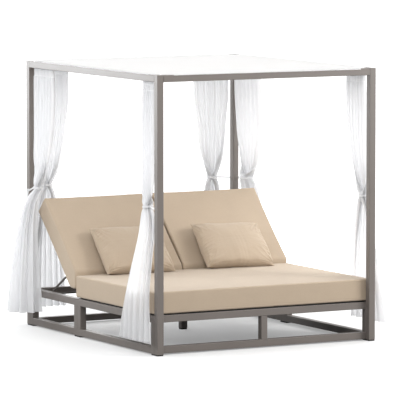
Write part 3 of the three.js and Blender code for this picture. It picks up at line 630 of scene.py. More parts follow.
class DAYBED_OT_seat_cushion(bpy.types.Operator):
    """Makes the one-piece seat cushion"""
    bl_idname = "daybed.seat_cushion"
    bl_label = "Seat cushion"

    def execute(self, context):
        size = (SEAT_HIGH[0] - SEAT_LOW[0], SEAT_HIGH[1] - SEAT_LOW[1], sizes().seat_thickness)
        position, faces = cushion_surface(size, sizes().crown, 3, SEAT_CREASES, (84, 58, 9))
        position += np.array([0, (SEAT_LOW[1] + SEAT_HIGH[1]) / 2, SEAT_LOW[2]])
        piece = new_piece("seat_cushion_cover", position, faces, "cushion", "frame")
        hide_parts("seat_cushion")
        return {"FINISHED"}


class DAYBED_OT_back_cushions(bpy.types.Operator):
    """Makes the two reclined back cushions and their soft lower ends"""
    bl_idname = "daybed.back_cushions"
    bl_label = "Back cushions"

    def execute(self, context):
        width = (SEAT_HIGH[0] - SEAT_LOW[0] - BACK_GAP) / 2
        size = (width, BACK_LENGTH, sizes().back_thickness)
        for side, label in SIDES:
            across = side * (width + BACK_GAP) / 2
            position, faces = cushion_surface(
                size, sizes().crown + 0.001, 11 + side, BACK_CREASES, (46, 40, 9))
            position += np.array([across, BACK_LIFT + BACK_LENGTH / 2, BACK_UNDERSIDE])
            piece = back_piece("back_cushion_cover", label, position, faces)
            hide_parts(f"back_cushion_{label}")
            points, faces = self.lower_end(side, across, width / 2 + 0.0002)
            piece = back_piece("back_cushion_end", label, points, faces)
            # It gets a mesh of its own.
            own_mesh(piece)
        return {"FINISHED"}

    def lower_end(self, side, across, half):
        """The end of the cushion, which slumps into the corner behind the seat."""
        edge = sizes().cushion_edge
        lines = edge_lines(half, edge, 30)
        # The flat sides are closed by rings that shrink towards their middle.
        caps = [(lines[0], k) for k in (0.12, 0.5, 0.85, 0.96)]
        rings = [*caps, *((x, 1.0) for x in lines), *((-x, k) for x, k in reversed(caps))]
        points = []
        for x, shrink in rings:
            held = max(0.0, (abs(x) - (half - edge)) / edge)
            inset = edge * (1 - math.sqrt(max(0.0, 1 - min(held, 1.0) ** 2)))
            for s, n in END_OUTLINE:
                pull = np.array([s, n]) - END_MIDDLE
                free = eased((0.125 - s) / 0.04)
                soft = 0.0030 * free * noise.noise(Vector((x * 9 + side * 5, s * 16, n * 16)))
                kept = 1 - (inset - soft) / np.linalg.norm(pull)
                points.append((across + x, *(END_MIDDLE + pull * kept * shrink)))
        around = len(END_OUTLINE)
        last = len(points) - around
        faces = []
        for row in range(0, last, around):
            for j in range(around):
                a, b = row + j, row + (j + 1) % around
                faces.append((a, b, b + around, a + around))
        faces.append(tuple(range(around))[::-1])
        faces.append(tuple(range(last, last + around)))
        return points, faces


# Scatter pillows

PILLOW_FROM_CENTRE = 0.411
PILLOW_UP_BACK = 0.212
# For each pillow: its turn in degrees, its shift across and its height as a share of the other
PILLOW_POSES = ((-1.0, -0.004, 1.05), (-2.5, 0.016, 1.0))
PILLOW_CLOTH = {
    "quality": 6, "mass": 0.25, "tension_stiffness": 30, "compression_stiffness": 20,
    "shear_stiffness": 12, "bending_stiffness": 0.35, "use_pressure": True,
    "uniform_pressure_force": 4.0,
}
FILLING_FRAMES = 24
# The share of the cloth's own form in a pillow
CLOTH_SHARE = 0.25


def pillow_bag(width, height, gap):
    """A flat bag of two sheets sewn together round their edges, a little apart inside."""
    nx, ny = 70, 52
    vertices, index, faces = [], {}, []

    def vertex(i, j, layer):
        rim = i in (0, nx) or j in (0, ny)
        key = (i, j, 0 if rim else layer)
        if key not in index:
            u, v = 2 * i / nx - 1, 2 * j / ny - 1
            lift = 0 if rim else layer * gap * (1 - u**4) * (1 - v**4)
            index[key] = len(vertices)
            vertices.append((u * width / 2, v * height / 2, lift))
        return index[key]

    for layer in (1, -1):
        for i in range(nx + 1):
            for j in range(ny + 1):
                vertex(i, j, layer)
    for layer in (1, -1):
        for i in range(nx):
            for j in range(ny):
                corners = ((i, j), (i + 1, j), (i + 1, j + 1), (i, j + 1))
                quad = tuple(vertex(a, b, layer) for a, b in corners)
                faces.append(quad if layer > 0 else quad[::-1])
    return np.array(vertices, float), faces


def blown_up(position, faces, size):
    """What Blender's cloth makes of the bag under pressure, brought to a size."""
    bag = new_object("pillow_bag", position, faces)
    cloth = bag.modifiers.new("cloth", "CLOTH")
    for key, value in PILLOW_CLOTH.items():
        setattr(cloth.settings, key, value)
    cloth.settings.effector_weights.gravity = 0
    cloth.point_cache.frame_start = 1
    cloth.point_cache.frame_end = FILLING_FRAMES
    for step in range(1, FILLING_FRAMES + 1):
        bpy.context.scene.frame_set(step)
    blown, _ = taken_off(bag)
    bpy.context.scene.frame_set(1)
    blown -= (blown.max(axis=0) + blown.min(axis=0)) / 2
    return blown * (size / np.ptp(blown, axis=0))


def relaxed(position, faces, held, rounds):
    """Evens a mesh out by moving each free vertex half way to its neighbours' middle."""
    quads = np.array(faces)
    pairs = np.vstack([quads[:, [k, (k + 1) % 4]] for k in range(4)])
    pairs = np.vstack([pairs, pairs[:, ::-1]])
    count = np.zeros(len(position))
    np.add.at(count, pairs[:, 0], 1)
    for _ in range(rounds):
        total = np.zeros_like(position)
        np.add.at(total, pairs[:, 0], position[pairs[:, 1]])
        middle = total / count[:, None]
        position = np.where(held[:, None], position, (position + middle) / 2)
    return position


def filled_pillow(seed):
    size = np.array([sizes().pillow_width, sizes().pillow_height, sizes().pillow_loft])
    width, height, loft = size
    start, faces = pillow_bag(width * 1.04, height * 1.05, 0.004)
    u, v = (start[:, :2] / start[:, :2].max(axis=0)).T
    plump = np.clip((1 - np.abs(u) ** 2.6) * (1 - np.abs(v) ** 2.6), 0, 1) ** 0.55
    position = start.copy()
    position[:, 2] = np.sign(start[:, 2]) * plump * loft / 2
    position *= size / np.ptp(position, axis=0)
    uneven = start.copy()
    uneven[:, 2] += 0.0012 * wander(start, 0.05, seed) * (np.abs(start[:, 2]) > 1e-5)
    blown = blown_up(uneven, faces, size)
    blown = relaxed(blown, faces, np.abs(start[:, 2]) < 1e-6, 16)
    position += CLOTH_SHARE * (blown - position)
    # Filling pushed into the edges makes the bag steeper there than a blown-up one.
    swell = np.abs(position[:, 2]) / (loft / 2)
    steep = swell ** (0.70 - 0.06 * eased(-v))
    # It settles towards the lower side, which bulges and turns under by up to 46 mm.
    settled = 1 + 0.16 * bell(v, -0.30, 0.42) - 0.05 * eased(v)
    front = swell * (position[:, 2] > 0)
    position[:, 2] = np.sign(position[:, 2]) * steep * settled * loft / 2
    position[:, 1] -= 0.046 * front * bell(v, -0.71, 0.25)
    return with_straight_edges(position, u, v, width, height, seed), start, faces


def with_straight_edges(position, u, v, width, height, seed):
    """Draws a filled bag's seam back to nearly straight sides, as a cover that is cut full in
    the middle has, and carries the cloth between the seams along."""

    def bowed(t, bow, flare):
        """A side's distance from the middle. It bows in, and its corners stand out."""
        return 1 - bow * (1 - t**2) - flare * (1 - np.abs(t) ** 12)

    def level(t, sign):
        return 0.004 * np.sin(t * 5.3 + seed) * (1 - t**2) * sign

    def side(t, sign):
        across = sign * width / 2 * bowed(t, 0.022, 0.030)
        return np.stack([across, t * height / 2, level(t, sign)], axis=1)

    def rim(t, sign):
        along = sign * height / 2 * bowed(t, 0.026, 0.036)
        return np.stack([t * width / 2, along, level(t, -sign)], axis=1)

    def seam(fixed, running, sign, at, target):
        """How far the seam of one side moves, at places along it."""
        on = np.abs(fixed - sign) < 1e-5
        order = np.argsort(running[on])
        t = running[on][order]
        shift = target(t, sign) - position[on][order]
        return np.stack([np.interp(at, t, shift[:, k]) for k in range(3)], axis=1)

    def corner(sx, sy):
        return seam(u, v, sx, np.array([float(sy)]), side)[0]

    left, right = (seam(u, v, sign, v, side) for sign in (-1, 1))
    low, high = (seam(v, u, sign, u, rim) for sign in (-1, 1))
    a, b = ((u + 1) / 2)[:, None], ((v + 1) / 2)[:, None]
    bilinear = ((1 - a) * (1 - b) * corner(-1, -1) + a * (1 - b) * corner(1, -1)
                + (1 - a) * b * corner(-1, 1) + a * b * corner(1, 1))
    return position + (1 - a) * left + a * right + (1 - b) * low + b * high - bilinear


def subdivided(position, faces):
    """One level of Catmull-Clark over a mesh, as plain points and faces."""
    piece = new_object("coarse_pillow", position, faces)
    finer = piece.modifiers.new("finer", "SUBSURF")
    finer.levels = finer.render_levels = 1
    return taken_off(piece)


def outward(position, faces):
    """Each vertex's direction out of a closed mesh of quads."""
    quads = np.array(faces)
    a, b, c, d = (position[quads[:, k]] for k in range(4))
    face = np.cross(c - a, d - b)
    total = np.zeros_like(position)
    for k in range(4):
        np.add.at(total, quads[:, k], face)
    return total / (np.linalg.norm(total, axis=1, keepdims=True) + 1e-12)


def wrinkled(position, faces, start, seed):
    """Adds the short sharp folds that run in from a filled cover's seams and corners."""
    half = start[:, :2].max(axis=0)
    u, v = (start[:, :2] / half).T
    side, rim = (1 - np.abs(u)) * half[0], (1 - np.abs(v)) * half[1]
    reach = np.hypot(side, rim)
    turn = np.arctan2(rim, side + 1e-6)
    layer = np.sign(position[:, 2]) * 3.1 + seed * 3.7

    def ridged(x, y, z):
        raw = noise_at(np.stack([x, y, z], axis=1))
        return np.clip(1 - np.abs(raw) * 3.0, 0, 1) - 0.35

    # They lie about 18 mm apart along the sides, 30 mm along the top and bottom.
    from_side = ridged(side * 9 + np.sign(u) * 5, v * half[1] * 55 - side * 22, layer)
    fine = ridged(side * 14, v * half[1] * 110 - side * 45, layer + 6.4)
    from_rim = ridged(u * half[0] * 32 + rim * 12, rim * 8 + np.sign(v) * 5, layer + 2.2)
    from_corner = ridged(turn * 4.2, reach * 7, layer + np.sign(u) * 2 + np.sign(v) * 4)
    # Each kind has a greatest depth in metres and fades in and out away from its seam.
    rising = 0.55 + 0.45 * np.sin(v * 2.1 + seed)
    depth = (0.0125 * from_side * rising * np.exp(-side / 0.046) * eased(side / 0.030)
             + 0.0026 * fine * rising * np.exp(-side / 0.040) * eased(side / 0.016)
             + 0.0030 * from_rim * np.exp(-rim / 0.045 - side / 0.110) * eased(rim / 0.030)
             + 0.0250 * from_corner * np.exp(-reach / 0.070)
             * eased(np.minimum(side, rim) / 0.020))
    # They stand out of the faces, so the outline stays smooth.
    away = outward(position, faces) * np.array([0.35, 0.35, 1.0])
    folded = position + away * depth[:, None]
    # The tip of each corner holds no filling.
    folded[:, 2] *= 1 - 0.72 * bell(reach, 0, 0.032)
    return folded


class DAYBED_OT_pillows(bpy.types.Operator):
    """Makes the two scatter pillows"""
    bl_idname = "daybed.pillows"
    bl_label = "Scatter pillows"

    def execute(self, context):
        face = BACK_UNDERSIDE + sizes().back_thickness + sizes().crown + 0.004
        middle = face + 0.0025 + 0.070
        for (side, label), (turn, shift, tall) in zip(SIDES, PILLOW_POSES):
            seed = 20 + side
            coarse, start, quads = filled_pillow(seed)
            position, faces = subdivided(coarse, quads)
            start, _ = subdivided(start, quads)
            position = wrinkled(position, faces, start, seed)
            c, s = math.cos(math.radians(turn)), math.sin(math.radians(turn))
            x, y = position[:, 0].copy(), position[:, 1] * tall
            position[:, 0] = x * c - y * s
            position[:, 1] = x * s + y * c
            position += np.array([side * PILLOW_FROM_CENTRE + shift,
                                  PILLOW_UP_BACK + (tall - 1) * 0.2, middle])
            # The back of the pillow flattens where it leans on the cushion.
            position[:, 2] = np.maximum(position[:, 2], face + 0.0005)
            piece = back_piece("scatter_pillow_cover", label, position, faces)
            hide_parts(f"scatter_pillow_{label}")
        return {"FINISHED"}


# Roof cloth

ROOF_THICKNESS = 0.0012
ROOF_CORNER_CUT = 0.130
ROOF_SAG = 0.0130
ROOF_MIDDLE_Y = (OUTER_BACK + OUTER_FRONT) / 2


class DAYBED_OT_roof(bpy.types.Operator):
    """Makes the roof cloth, one sheet stretched over the beams with its corners cut away"""
    bl_idname = "daybed.roof"
    bl_label = "Roof cloth"

    def execute(self, context):
        half_x, half_y = HALF_WIDTH, (OUTER_BACK - OUTER_FRONT) / 2
        limit = half_x + half_y - ROOF_CORNER_CUT
        vertices, faces = merged([self.top(half_x, half_y, limit), *self.laps(half_x, half_y, limit)])
        piece = new_piece("roof_cloth_sheet", vertices, faces, "roof", "frame")
        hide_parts("roof_cloth")
        return {"FINISHED"}

    def top(self, half_x, half_y, limit):
        """The sheet on the beams, made of rings that grow from its middle to its edge."""
        shares = np.sort(np.concatenate([np.linspace(-0.985, 0.985, 64), [-1, 1]]))
        u, v = np.meshgrid(shares, shares, indexing="ij")
        ring = np.maximum(np.abs(u), np.abs(v))
        safe = np.maximum(ring, 1e-9)
        edge_x, edge_y = half_x * u / safe, half_y * v / safe
        over = np.maximum(np.abs(edge_x) + np.abs(edge_y) - limit, 0) / 2
        x = (edge_x - np.sign(edge_x) * over) * ring
        y = (edge_y - np.sign(edge_y) * over) * ring
        # It sags between the beams and ripples a little.
        inner_y = half_y - (HALF_WIDTH - INNER_X)
        inside = np.clip(1 - (x / INNER_X) ** 2, 0, 1) * np.clip(1 - (y / inner_y) ** 2, 0, 1)
        flat = np.stack([x, y, np.zeros_like(x)], axis=2).reshape(-1, 3)
        ripple = wander(flat, 0.28, 5) * 0.0028 + wander(flat, 0.09, 6) * 0.0008
        z = BEAM_TOP + 0.0012 - ROOF_SAG * inside ** 0.8
        z += ripple.reshape(x.shape) * eased(inside * 6)
        # A line of stitches runs round it just inside the edge.
        z -= bell(ring, 0.972, 0.004) * 0.0006
        # The edge itself folds down over the beams' outer faces.
        rim = ring > 0.999
        on_beam = (over < 1e-6) & rim
        x = np.where(on_beam & (np.abs(u) > 0.999), np.sign(u) * (half_x + 0.0018), x)
        y = np.where(on_beam & (np.abs(v) > 0.999), np.sign(v) * (half_y + 0.0018), y)
        z = np.where(rim, BEAM_TOP - 0.0005, z)
        return thin_shell(np.stack([x, y + ROOF_MIDDLE_Y, z], axis=2), ROOF_THICKNESS)

    def laps(self, half_x, half_y, limit):
        """The hem that hangs down over each beam's outer face."""
        for along_x, sign in ((True, -1), (True, 1), (False, -1), (False, 1)):
            own = half_y if along_x else half_x
            reach = limit - own
            t = np.linspace(-reach, reach, 40)
            # It is deepest at the front right and hardly shows on the other sides.
            depth = np.full_like(t, 0.0015)
            if along_x and sign < 0:
                depth = 0.0035 + 0.0030 * eased((t / reach + 1) / 2)
            rows = []
            for k, share in enumerate((0.0, 0.4, 1.0)):
                out = np.full_like(t, sign * (own + (0.0018 + 0.0004 * k)))
                height = BEAM_TOP - 0.0002 - depth * share + 0.0004 * np.sin(t * 23 + k) * (k / 2)
                x, y = (t, out) if along_x else (out, t)
                rows.append(np.stack([x, y + ROOF_MIDDLE_Y, height], axis=1))
            grid = np.array(rows)
            yield thin_shell(grid[:, ::-1] if along_x == (sign > 0) else grid, ROOF_THICKNESS)


# Curtains
# Each curtain is a sheet whose section changes with height. The section is an arc with folds:
# nearly flat under the beam, closed to a bundle at the tie-back, and opened again to the hem.

# A section's values: the arc's middle, its half spread along and across the beam, how far it
# closes (0 flat, 1 nearly a ring), the depth of its folds, and its height
SECTION = ("x", "y", "along", "across", "close", "fold", "z")
# Heights between the hem and the band, and between the band and the beam, as shares
BELOW = (0, 0.3, 0.62, 0.86, 0.95)
ABOVE = (0.05, 0.15, 0.42, 0.74, 1)
# Distance of the bundles from the posts, and a bundle's half spread
STAND_OFF = 0.057
BUNDLE = 0.034


def section(*values):
    return dict(zip(SECTION, values))


def bundle(x, y, along=BUNDLE, across=BUNDLE):
    return section(x, y, along, across, 1.0, 0.007)


def curtain(beam, outward, head, tie, hem, move, bell_out, lift, spread, sway=(0, 0, 0, 0, 0)):
    """One curtain's form. move and bell_out say, for each height of BELOW, how far the section
    has gone from the bundle's place and spread to the hem's. lift and spread say the same for
    the heights of ABOVE and the head, and sway shifts those along the beam, in metres."""
    return {"along_y": beam == "side", "outward": outward, "head": head, "tie": tie, "hem": hem,
            "move": move, "bell_out": bell_out, "lift": lift, "spread": spread, "sway": sway}


def curtain_places():
    beam_x, beam_y = INNER_X + 0.025, MODULE_BACK + 0.025
    tie_x = HALF_WIDTH - 0.008
    front_tie, back_tie = MODULE_FRONT + STAND_OFF, MODULE_BACK - STAND_OFF
    gathered = (0.020, 0.12, 0.015)
    fuller = (0.020, 0.12, 0.020)
    opened = (MODULE_BACK - 0.150, 0.140, 0.125, 0.9, 0.011, 0.130)
    rear_hem = (0.034, 0.4, 0.019, 0.120)
    steady = (1, 0.74, 0.46, 0.27, 0.14)
    rear = (steady, steady, (0.1, 0.3, 0.65, 0.93, 1), (0.13, 0.36, 0.78, 1.03, 1),
            (0.002, 0.004, 0.010, 0.006, 0))
    return {
        "left_back": curtain(
            "side", -1,
            section(0.015 - beam_x, MODULE_BACK - 0.188, 0.155, *fuller),
            bundle(-tie_x, back_tie - 0.073),
            section(-HALF_WIDTH - 0.120, *opened),
            (1, 0.96, 0.84, 0.58, 0.25), (1, 0.78, 0.45, 0.20, 0.09),
            (0.12, 0.4, 0.85, 1, 1), (0.15, 0.42, 0.88, 1.03, 1)),
        # The right one is a fuller bundle that falls close to the back cushion.
        "right_back": curtain(
            "side", 1,
            section(beam_x - 0.015, MODULE_BACK - 0.181, 0.180, *fuller),
            bundle(tie_x, back_tie - 0.085, 0.045, 0.052),
            section(HALF_WIDTH + 0.105, *opened),
            (1, 0.92, 0.62, 0.30, 0.12), (1, 0.75, 0.33, 0.12, 0.06),
            (0.12, 0.4, 0.85, 1, 1), (0.25, 0.65, 1.09, 1.15, 1),
            (-0.012, -0.027, -0.041, -0.020, 0)),
        "left_front": curtain(
            "side", -1,
            section(-beam_x, MODULE_FRONT + 0.100, 0.084, *gathered),
            bundle(0.009 - tie_x, front_tie + 0.067, 0.038),
            section(-HALF_WIDTH - 0.045, MODULE_FRONT + 0.170, 0.230, 0.030, 0.45, 0.017, 0.095),
            (1, 0.92, 0.46, 0.02, 0), (1, 0.7, 0.44, 0.24, 0.12),
            (0.02, 0.05, 0.16, 0.5, 1), (0.35, 0.8, 1.25, 1.2, 1),
            (-0.003, -0.008, -0.006, 0, 0)),
        "right_front": curtain(
            "side", 1,
            section(beam_x, MODULE_FRONT + 0.200, 0.130, *gathered),
            bundle(tie_x, front_tie + 0.045),
            section(HALF_WIDTH + 0.064, MODULE_FRONT + 0.185, 0.240, 0.048, 0.5, 0.019, 0.130),
            (1, 0.82, 0.45, 0.18, 0.08), (1, 0.72, 0.46, 0.23, 0.11),
            (0.12, 0.35, 0.72, 0.92, 1), (0.17, 0.44, 0.9, 1.08, 1),
            (0.002, 0.004, 0.010, 0.004, 0)),
        "back_left": curtain(
            "back", 1,
            section(0.165 - INNER_X, beam_y, 0.138, *gathered),
            bundle(0.112 - INNER_X, beam_y + 0.005),
            section(0.152 - INNER_X, OUTER_BACK + 0.042, 0.166, *rear_hem), *rear),
        "back_right": curtain(
            "back", 1,
            section(INNER_X - 0.176, beam_y, 0.160, *gathered),
            bundle(INNER_X - 0.167, beam_y + 0.005),
            section(INNER_X - 0.140, OUTER_BACK + 0.042, 0.150, *rear_hem), *rear),
    }


def curtain_levels(place):
    tie, hem, head = place["tie"], place["hem"], place["head"]

    def towards(end, spread, move, z):
        """The level that lies part of the way from the bundle to the hem or the head."""
        parts = {"x": move, "y": move, "along": spread, "across": spread, "fold": spread,
                 "close": min(spread, 1)}
        return {"z": z, **{key: tie[key] + (end[key] - tie[key]) * part
                           for key, part in parts.items()}}

    under, over = TIE_HEIGHT - BAND_REACH, TIE_HEIGHT + BAND_REACH
    rise, top = under - hem["z"], BEAM_UNDERSIDE - 0.0003
    levels = [towards(hem, spread, move, hem["z"] + rise * share)
              for share, spread, move in zip(BELOW, place["bell_out"], place["move"])]
    levels += [{**tie, "z": under}, {**tie, "z": over}]
    for share, spread, lift, sway in zip(ABOVE, place["spread"], place["lift"], place["sway"]):
        levels.append(towards(head, spread, lift, over + (top - over) * share))
        levels[-1]["y" if place["along_y"] else "x"] += sway
    return levels


def noise_along(t, start, step, y, z):
    return np.array([noise.noise(Vector((start + s * step, y, z))) for s in t])


def curtain_grid(place, seed):
    """The curtain's sheet as rows from hem to head of points across the cloth."""
    levels = curtain_levels(place)
    knots = [one["z"] for one in levels]
    hem, top = knots[0], knots[-1]
    # Rows lie closer at the band, at the hem and at the header tape.
    near = np.array([0.007, 0.014, 0.022, 0.030, 0.04, 0.06, 0.085])
    z = np.sort(np.concatenate([
        np.linspace(hem, top, 66), TIE_HEIGHT - near, [TIE_HEIGHT], TIE_HEIGHT + near,
        hem + np.array([0.004, 0.038, 0.042]), top - np.array([0.004, 0.028, 0.032, 0.058, 0.062]),
    ]))
    value = {key: smooth_through(knots, [one[key] for one in levels], z)
             for key in SECTION[:-1]}
    pleats, broad_folds = sizes().pleats, sizes().broad_folds
    t = np.linspace(-1, 1, pleats * 8 + 1)
    lower = np.clip((TIE_HEIGHT - z) / (TIE_HEIGHT - hem), 0, 1)
    upper = np.clip((z - TIE_HEIGHT) / (top - TIE_HEIGHT), 0, 1)
    rows = []
    for i, height in enumerate(z):
        middle_x, middle_y, along, across, close, fold = (value[key][i] for key in SECTION[:-1])
        # The folds take up the cloth's fullness, and in a bundle they reach in to its middle.
        deep = fold + 0.003 + close * (0.008 + 0.008 * lower[i])
        along, across = (spread - close * (deep - fold) for spread in (along, across))
        # The band pinches the bundle, and the cloth swells over and under it.
        pinch = 1 - 0.17 * bell(height, TIE_HEIGHT, 0.015)
        deep, along, across = deep * pinch, along * pinch, across * pinch
        # The header tape flattens the pleats.
        if height > top - 0.06:
            deep *= 0.8
        # Fine pleats under the beam give way to broad folds, which are uneven.
        broad = 0.25 + 0.62 * lower[i] ** 0.5 + 0.42 * np.sin(math.pi * upper[i] ** 0.8)
        uneven = noise_along(t, seed * 9.1, 2.3, height * 0.9, 0.5)
        swell = noise_along(t, seed * 4.7, 3.1, height * 0.7, 8.5)
        wound = t + 0.035 * uneven * (1 - t**2)
        fine_wave = np.cos(math.pi * pleats * (wound + 1))
        broad_wave = np.cos(math.pi * broad_folds * (wound + 1) + 0.6 * swell)
        wave = deep * ((1 - broad) * fine_wave + broad * broad_wave * (0.85 + 0.5 * swell))
        wave = np.clip(wave, -deep * 1.1, deep * 1.05)
        # The arc, and the folds at right angles to it
        angle = math.pi * 0.86 * close * t
        flat = 1 - close
        normal_along, normal_across = np.sin(angle) * close, flat + np.cos(angle) * close
        length = np.hypot(normal_along, normal_across)
        a = (flat * t + close * np.sin(angle)) * along + wave * normal_along / length
        c = close * np.cos(angle) * across + wave * normal_across / length
        c *= place["outward"]
        # The hem hangs unevenly by a few millimetres.
        ripple = 0.006 * (1 - eased((height - hem) / 0.10))
        drop = ripple * noise_along(t, seed, 1.7, 3.3, 1.1)
        x, y = (c, a) if place["along_y"] else (a, c)
        rows.append(np.stack([middle_x + x, middle_y + y, height + np.abs(drop)], axis=1))
    return np.array(rows)


class DAYBED_OT_curtains(bpy.types.Operator):
    """Makes the six voile curtains, gathered under the beams and tied back"""
    bl_idname = "daybed.curtains"
    bl_label = "Curtains"

    def execute(self, context):
        for seed, (label, place) in enumerate(curtain_places().items(), 1):
            grid = curtain_grid(place, seed)
            vertices, faces = thin_shell(grid, sizes().cloth_thickness)
            piece = new_piece(f"curtain_cloth_{label}", vertices, faces, "voile", "frame")
            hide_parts(f"curtain_{label}")
        return {"FINISHED"}


# Tie-backs

STRAP_THICKNESS = 0.0012


def ribbon(path, width, thickness=STRAP_THICKNESS, flat=(0.0, 0.0, 1.0)):
    """A flat strip along a path. Its width lies along flat."""
    steps = np.linspace(-width / 2, width / 2, 5)
    return thin_shell(np.array([path + np.array(flat) * s for s in steps]), thickness)


def rounded_path(corners, radius, steps=4):
    """A path through corners with each one rounded off."""
    corners = [np.asarray(c, float) for c in corners]
    path = [corners[0]]
    for before, corner, after in zip(corners, corners[1:], corners[2:]):
        start = corner + (before - corner) / np.linalg.norm(before - corner) * radius
        end = corner + (after - corner) / np.linalg.norm(after - corner) * radius
        for t in (k / steps for k in range(steps + 1)):
            path.append((1 - t) ** 2 * start + 2 * t * (1 - t) * corner + t**2 * end)
    path.append(corners[-1])
    return np.array(path)


def cloth_area(parts):
    """The area of one face of the strips, which is half of their surface."""
    total = 0.0
    for points, faces in parts:
        a, b, c, d = (points[list(corner)] for corner in zip(*faces))
        total += np.linalg.norm(np.cross(c - a, d - b), axis=1).sum() / 2
    return round(total / 2, 4)


class DAYBED_OT_tie_backs(bpy.types.Operator):
    """Makes the six tie-backs: a band round each bundle and a strap to its post"""
    bl_idname = "daybed.tie_backs"
    bl_label = "Tie-backs"

    def execute(self, context):
        for seed, (label, place) in enumerate(curtain_places().items(), 1):
            parts = [self.band(place, seed), *self.strap_and_tails(place, seed, label)]
            vertices, faces = merged(parts)
            piece = new_piece(f"tie_back_cloth_{label}", vertices, faces, "voile", "frame")
            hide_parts(f"tie_back_{label}")
            round(cloth_area(parts) / BAND_WIDTH, 2)
        return {"FINISHED"}

    def band(self, place, seed):
        """A gathered band round the bundle, with slightly wavy edges."""
        tie = place["tie"]
        half_x, half_y = tie["along"], tie["across"]
        if place["along_y"]:
            half_x, half_y = half_y, half_x
        turn = np.linspace(0, 2 * math.pi, 72, endpoint=False)
        rows = []
        for up in np.linspace(-0.5, 0.5, 7):
            gather = 0.0007 * np.sin(turn * 22 + seed + up * 1.5) + 0.0010 * np.sin(turn * 5 + seed)
            reach = 0.0036 + gather - 0.001 * (1 - 4 * up**2)
            width = BAND_WIDTH + 0.003 * np.sin(turn * 3 + seed)
            height = TIE_HEIGHT + up * width + 0.003 * np.sin(turn + seed)
            rows.append(np.stack([tie["x"] + (half_x + reach) * np.cos(turn),
                                  tie["y"] + (half_y + reach) * np.sin(turn), height], axis=1))
        return thin_shell(np.array(rows), 0.0016, wrap=True)

    def strap_and_tails(self, place, seed, label):
        """The strap from the bundle to its post, 1.8 mm clear of the post's faces."""
        centre = np.array([place["tie"]["x"], place["tie"]["y"]])
        right, front = centre[0] > 0, centre[1] < MID_Y
        low = np.array((POST_FRONT_LOW if front else POST_BACK_LOW)[:2])
        high = np.array((POST_FRONT_HIGH if front else POST_BACK_HIGH)[:2])
        if right:
            low, high = np.array([-high[0], low[1]]), np.array([-low[0], high[1]])
        # d points from the bundle to its post, and p out of the bed.
        if place["along_y"]:
            d, p = np.array([0.0, -1.0 if front else 1.0]), np.array([place["outward"], 0.0])
        else:
            d, p = np.array([1.0 if right else -1.0, 0.0]), np.array([0.0, 1.0])
        gap = 0.0018
        near, far = np.sort([(low - centre) @ d, (high - centre) @ d]) + [-gap, gap]
        inner, outer = np.sort([(low - centre) @ p, (high - centre) @ p]) + [-gap, gap]

        def at(along, across, z):
            flat = centre + d * along + p * across
            return (flat[0], flat[1], z)

        start = place["tie"]["along"] + 0.0023
        if label == "left_back":
            return self.wrapped(at, start, near, far, inner, outer, d, p, seed)
        # The strap ends in a stitched loop: behind the outer corner at the head end, and on the
        # face towards the curtain at the foot end.
        post_z = TIE_HEIGHT - 0.012
        if front:
            middle = 0.5 * (inner + outer)
            path = [at(start, 0.006, TIE_HEIGHT), at(near, middle + 0.006, post_z),
                    at(near, middle - 0.016, post_z)]
        else:
            path = [at(start, 0.010, TIE_HEIGHT), at(near - 0.004, outer, post_z),
                    at(near + 0.036, outer, post_z)]
        return [ribbon(rounded_path(path, 0.003), BAND_WIDTH)]

    def wrapped(self, at, start, near, far, inner, outer, d, p, seed):
        """A strap once round the post, knotted at its outer corner, with two loose tails."""
        post_z = TIE_HEIGHT - 0.030
        loop = rounded_path([
            at(start, 0.011, TIE_HEIGHT), at(near + 0.001, outer, post_z), at(far, outer, post_z),
            at(far, inner, post_z), at(near, inner, post_z), at(start, -0.011, TIE_HEIGHT),
        ], 0.004)
        parts = [ribbon(loop, 0.013)]
        turn = np.linspace(0, 2 * math.pi, 20, endpoint=False)
        rows = []
        for k in np.linspace(-1, 1, 7):
            size = math.sqrt(max(0.0, 1 - k**2 * 0.8))
            rows.append([at(near + 0.006 + k * 0.009, outer + 0.003 + 0.005 * size * math.cos(a),
                            post_z + 0.010 * size * math.sin(a)) for a in turn])
        parts.append(thin_shell(np.array(rows), STRAP_THICKNESS, wrap=True))
        twist = np.array([*d, 0]) * 0.95 + np.array([*p, 0]) * 0.3
        t = np.linspace(0, 1, 14)
        for k, (root, lean, length) in enumerate(((0.004, 0.010, 0.125), (0.010, -0.006, 0.150))):
            drift = root + lean * t + 0.004 * np.sin(5 * t + seed + k)
            bow = 0.010 * np.sin(math.pi * np.minimum(t * 1.4, 1)) * (0.5 + 0.4 * k)
            away = outer + 0.003 + bow + 0.002
            path = np.array([at(near + drift[i] + 0.004, away[i], post_z - 0.006 - length * t[i])
                             for i in range(len(t))])
            parts.append(ribbon(path, 0.012, 0.0011, twist / np.linalg.norm(twist)))
        return parts


# Stage

WHITE = (1.0, 1.0, 1.0)
# Soft boxes: watts, size, place, the point they face, and colour
SOFT_BOXES = {
    # The key stands high to the front right and reaches in under the roof.
    "key": (300.0, (3.0, 2.4), (4.6, -4.6, 3.2), (0.2, 0.0, 0.6), (1.0, 0.985, 0.965)),
    # The fill stands by the camera and opens the front faces.
    "fill": (88.0, (2.6, 2.0), (-2.4, -4.6, 3.3), (0.0, 0.0, 0.9), (1.0, 0.99, 0.98)),
    # A tall box at the back left puts a gloss on the left faces and shines through the curtains.
    "rim": (116.0, (3.0, 1.5), (-3.3, 3.9, 1.95), (-0.9, 0.0, 1.5), (0.95, 0.98, 1.0)),
    # Boxes at both sides open the sides of the cushions and the curtains.
    "left": (57.0, (2.4, 1.6), (-3.8, -0.4, 2.2), (-0.9, 0.0, 1.0), WHITE),
    "right": (160.0, (3.0, 3.0), (5.5, 1.0, 2.0), (0.0, 0.0, 0.8), WHITE),
    # A wide box behind parts the back curtains from the background.
    "back": (195.0, (5.0, 3.0), (0.5, 6.5, 3.0), (0.0, 0.0, 1.0), WHITE),
}
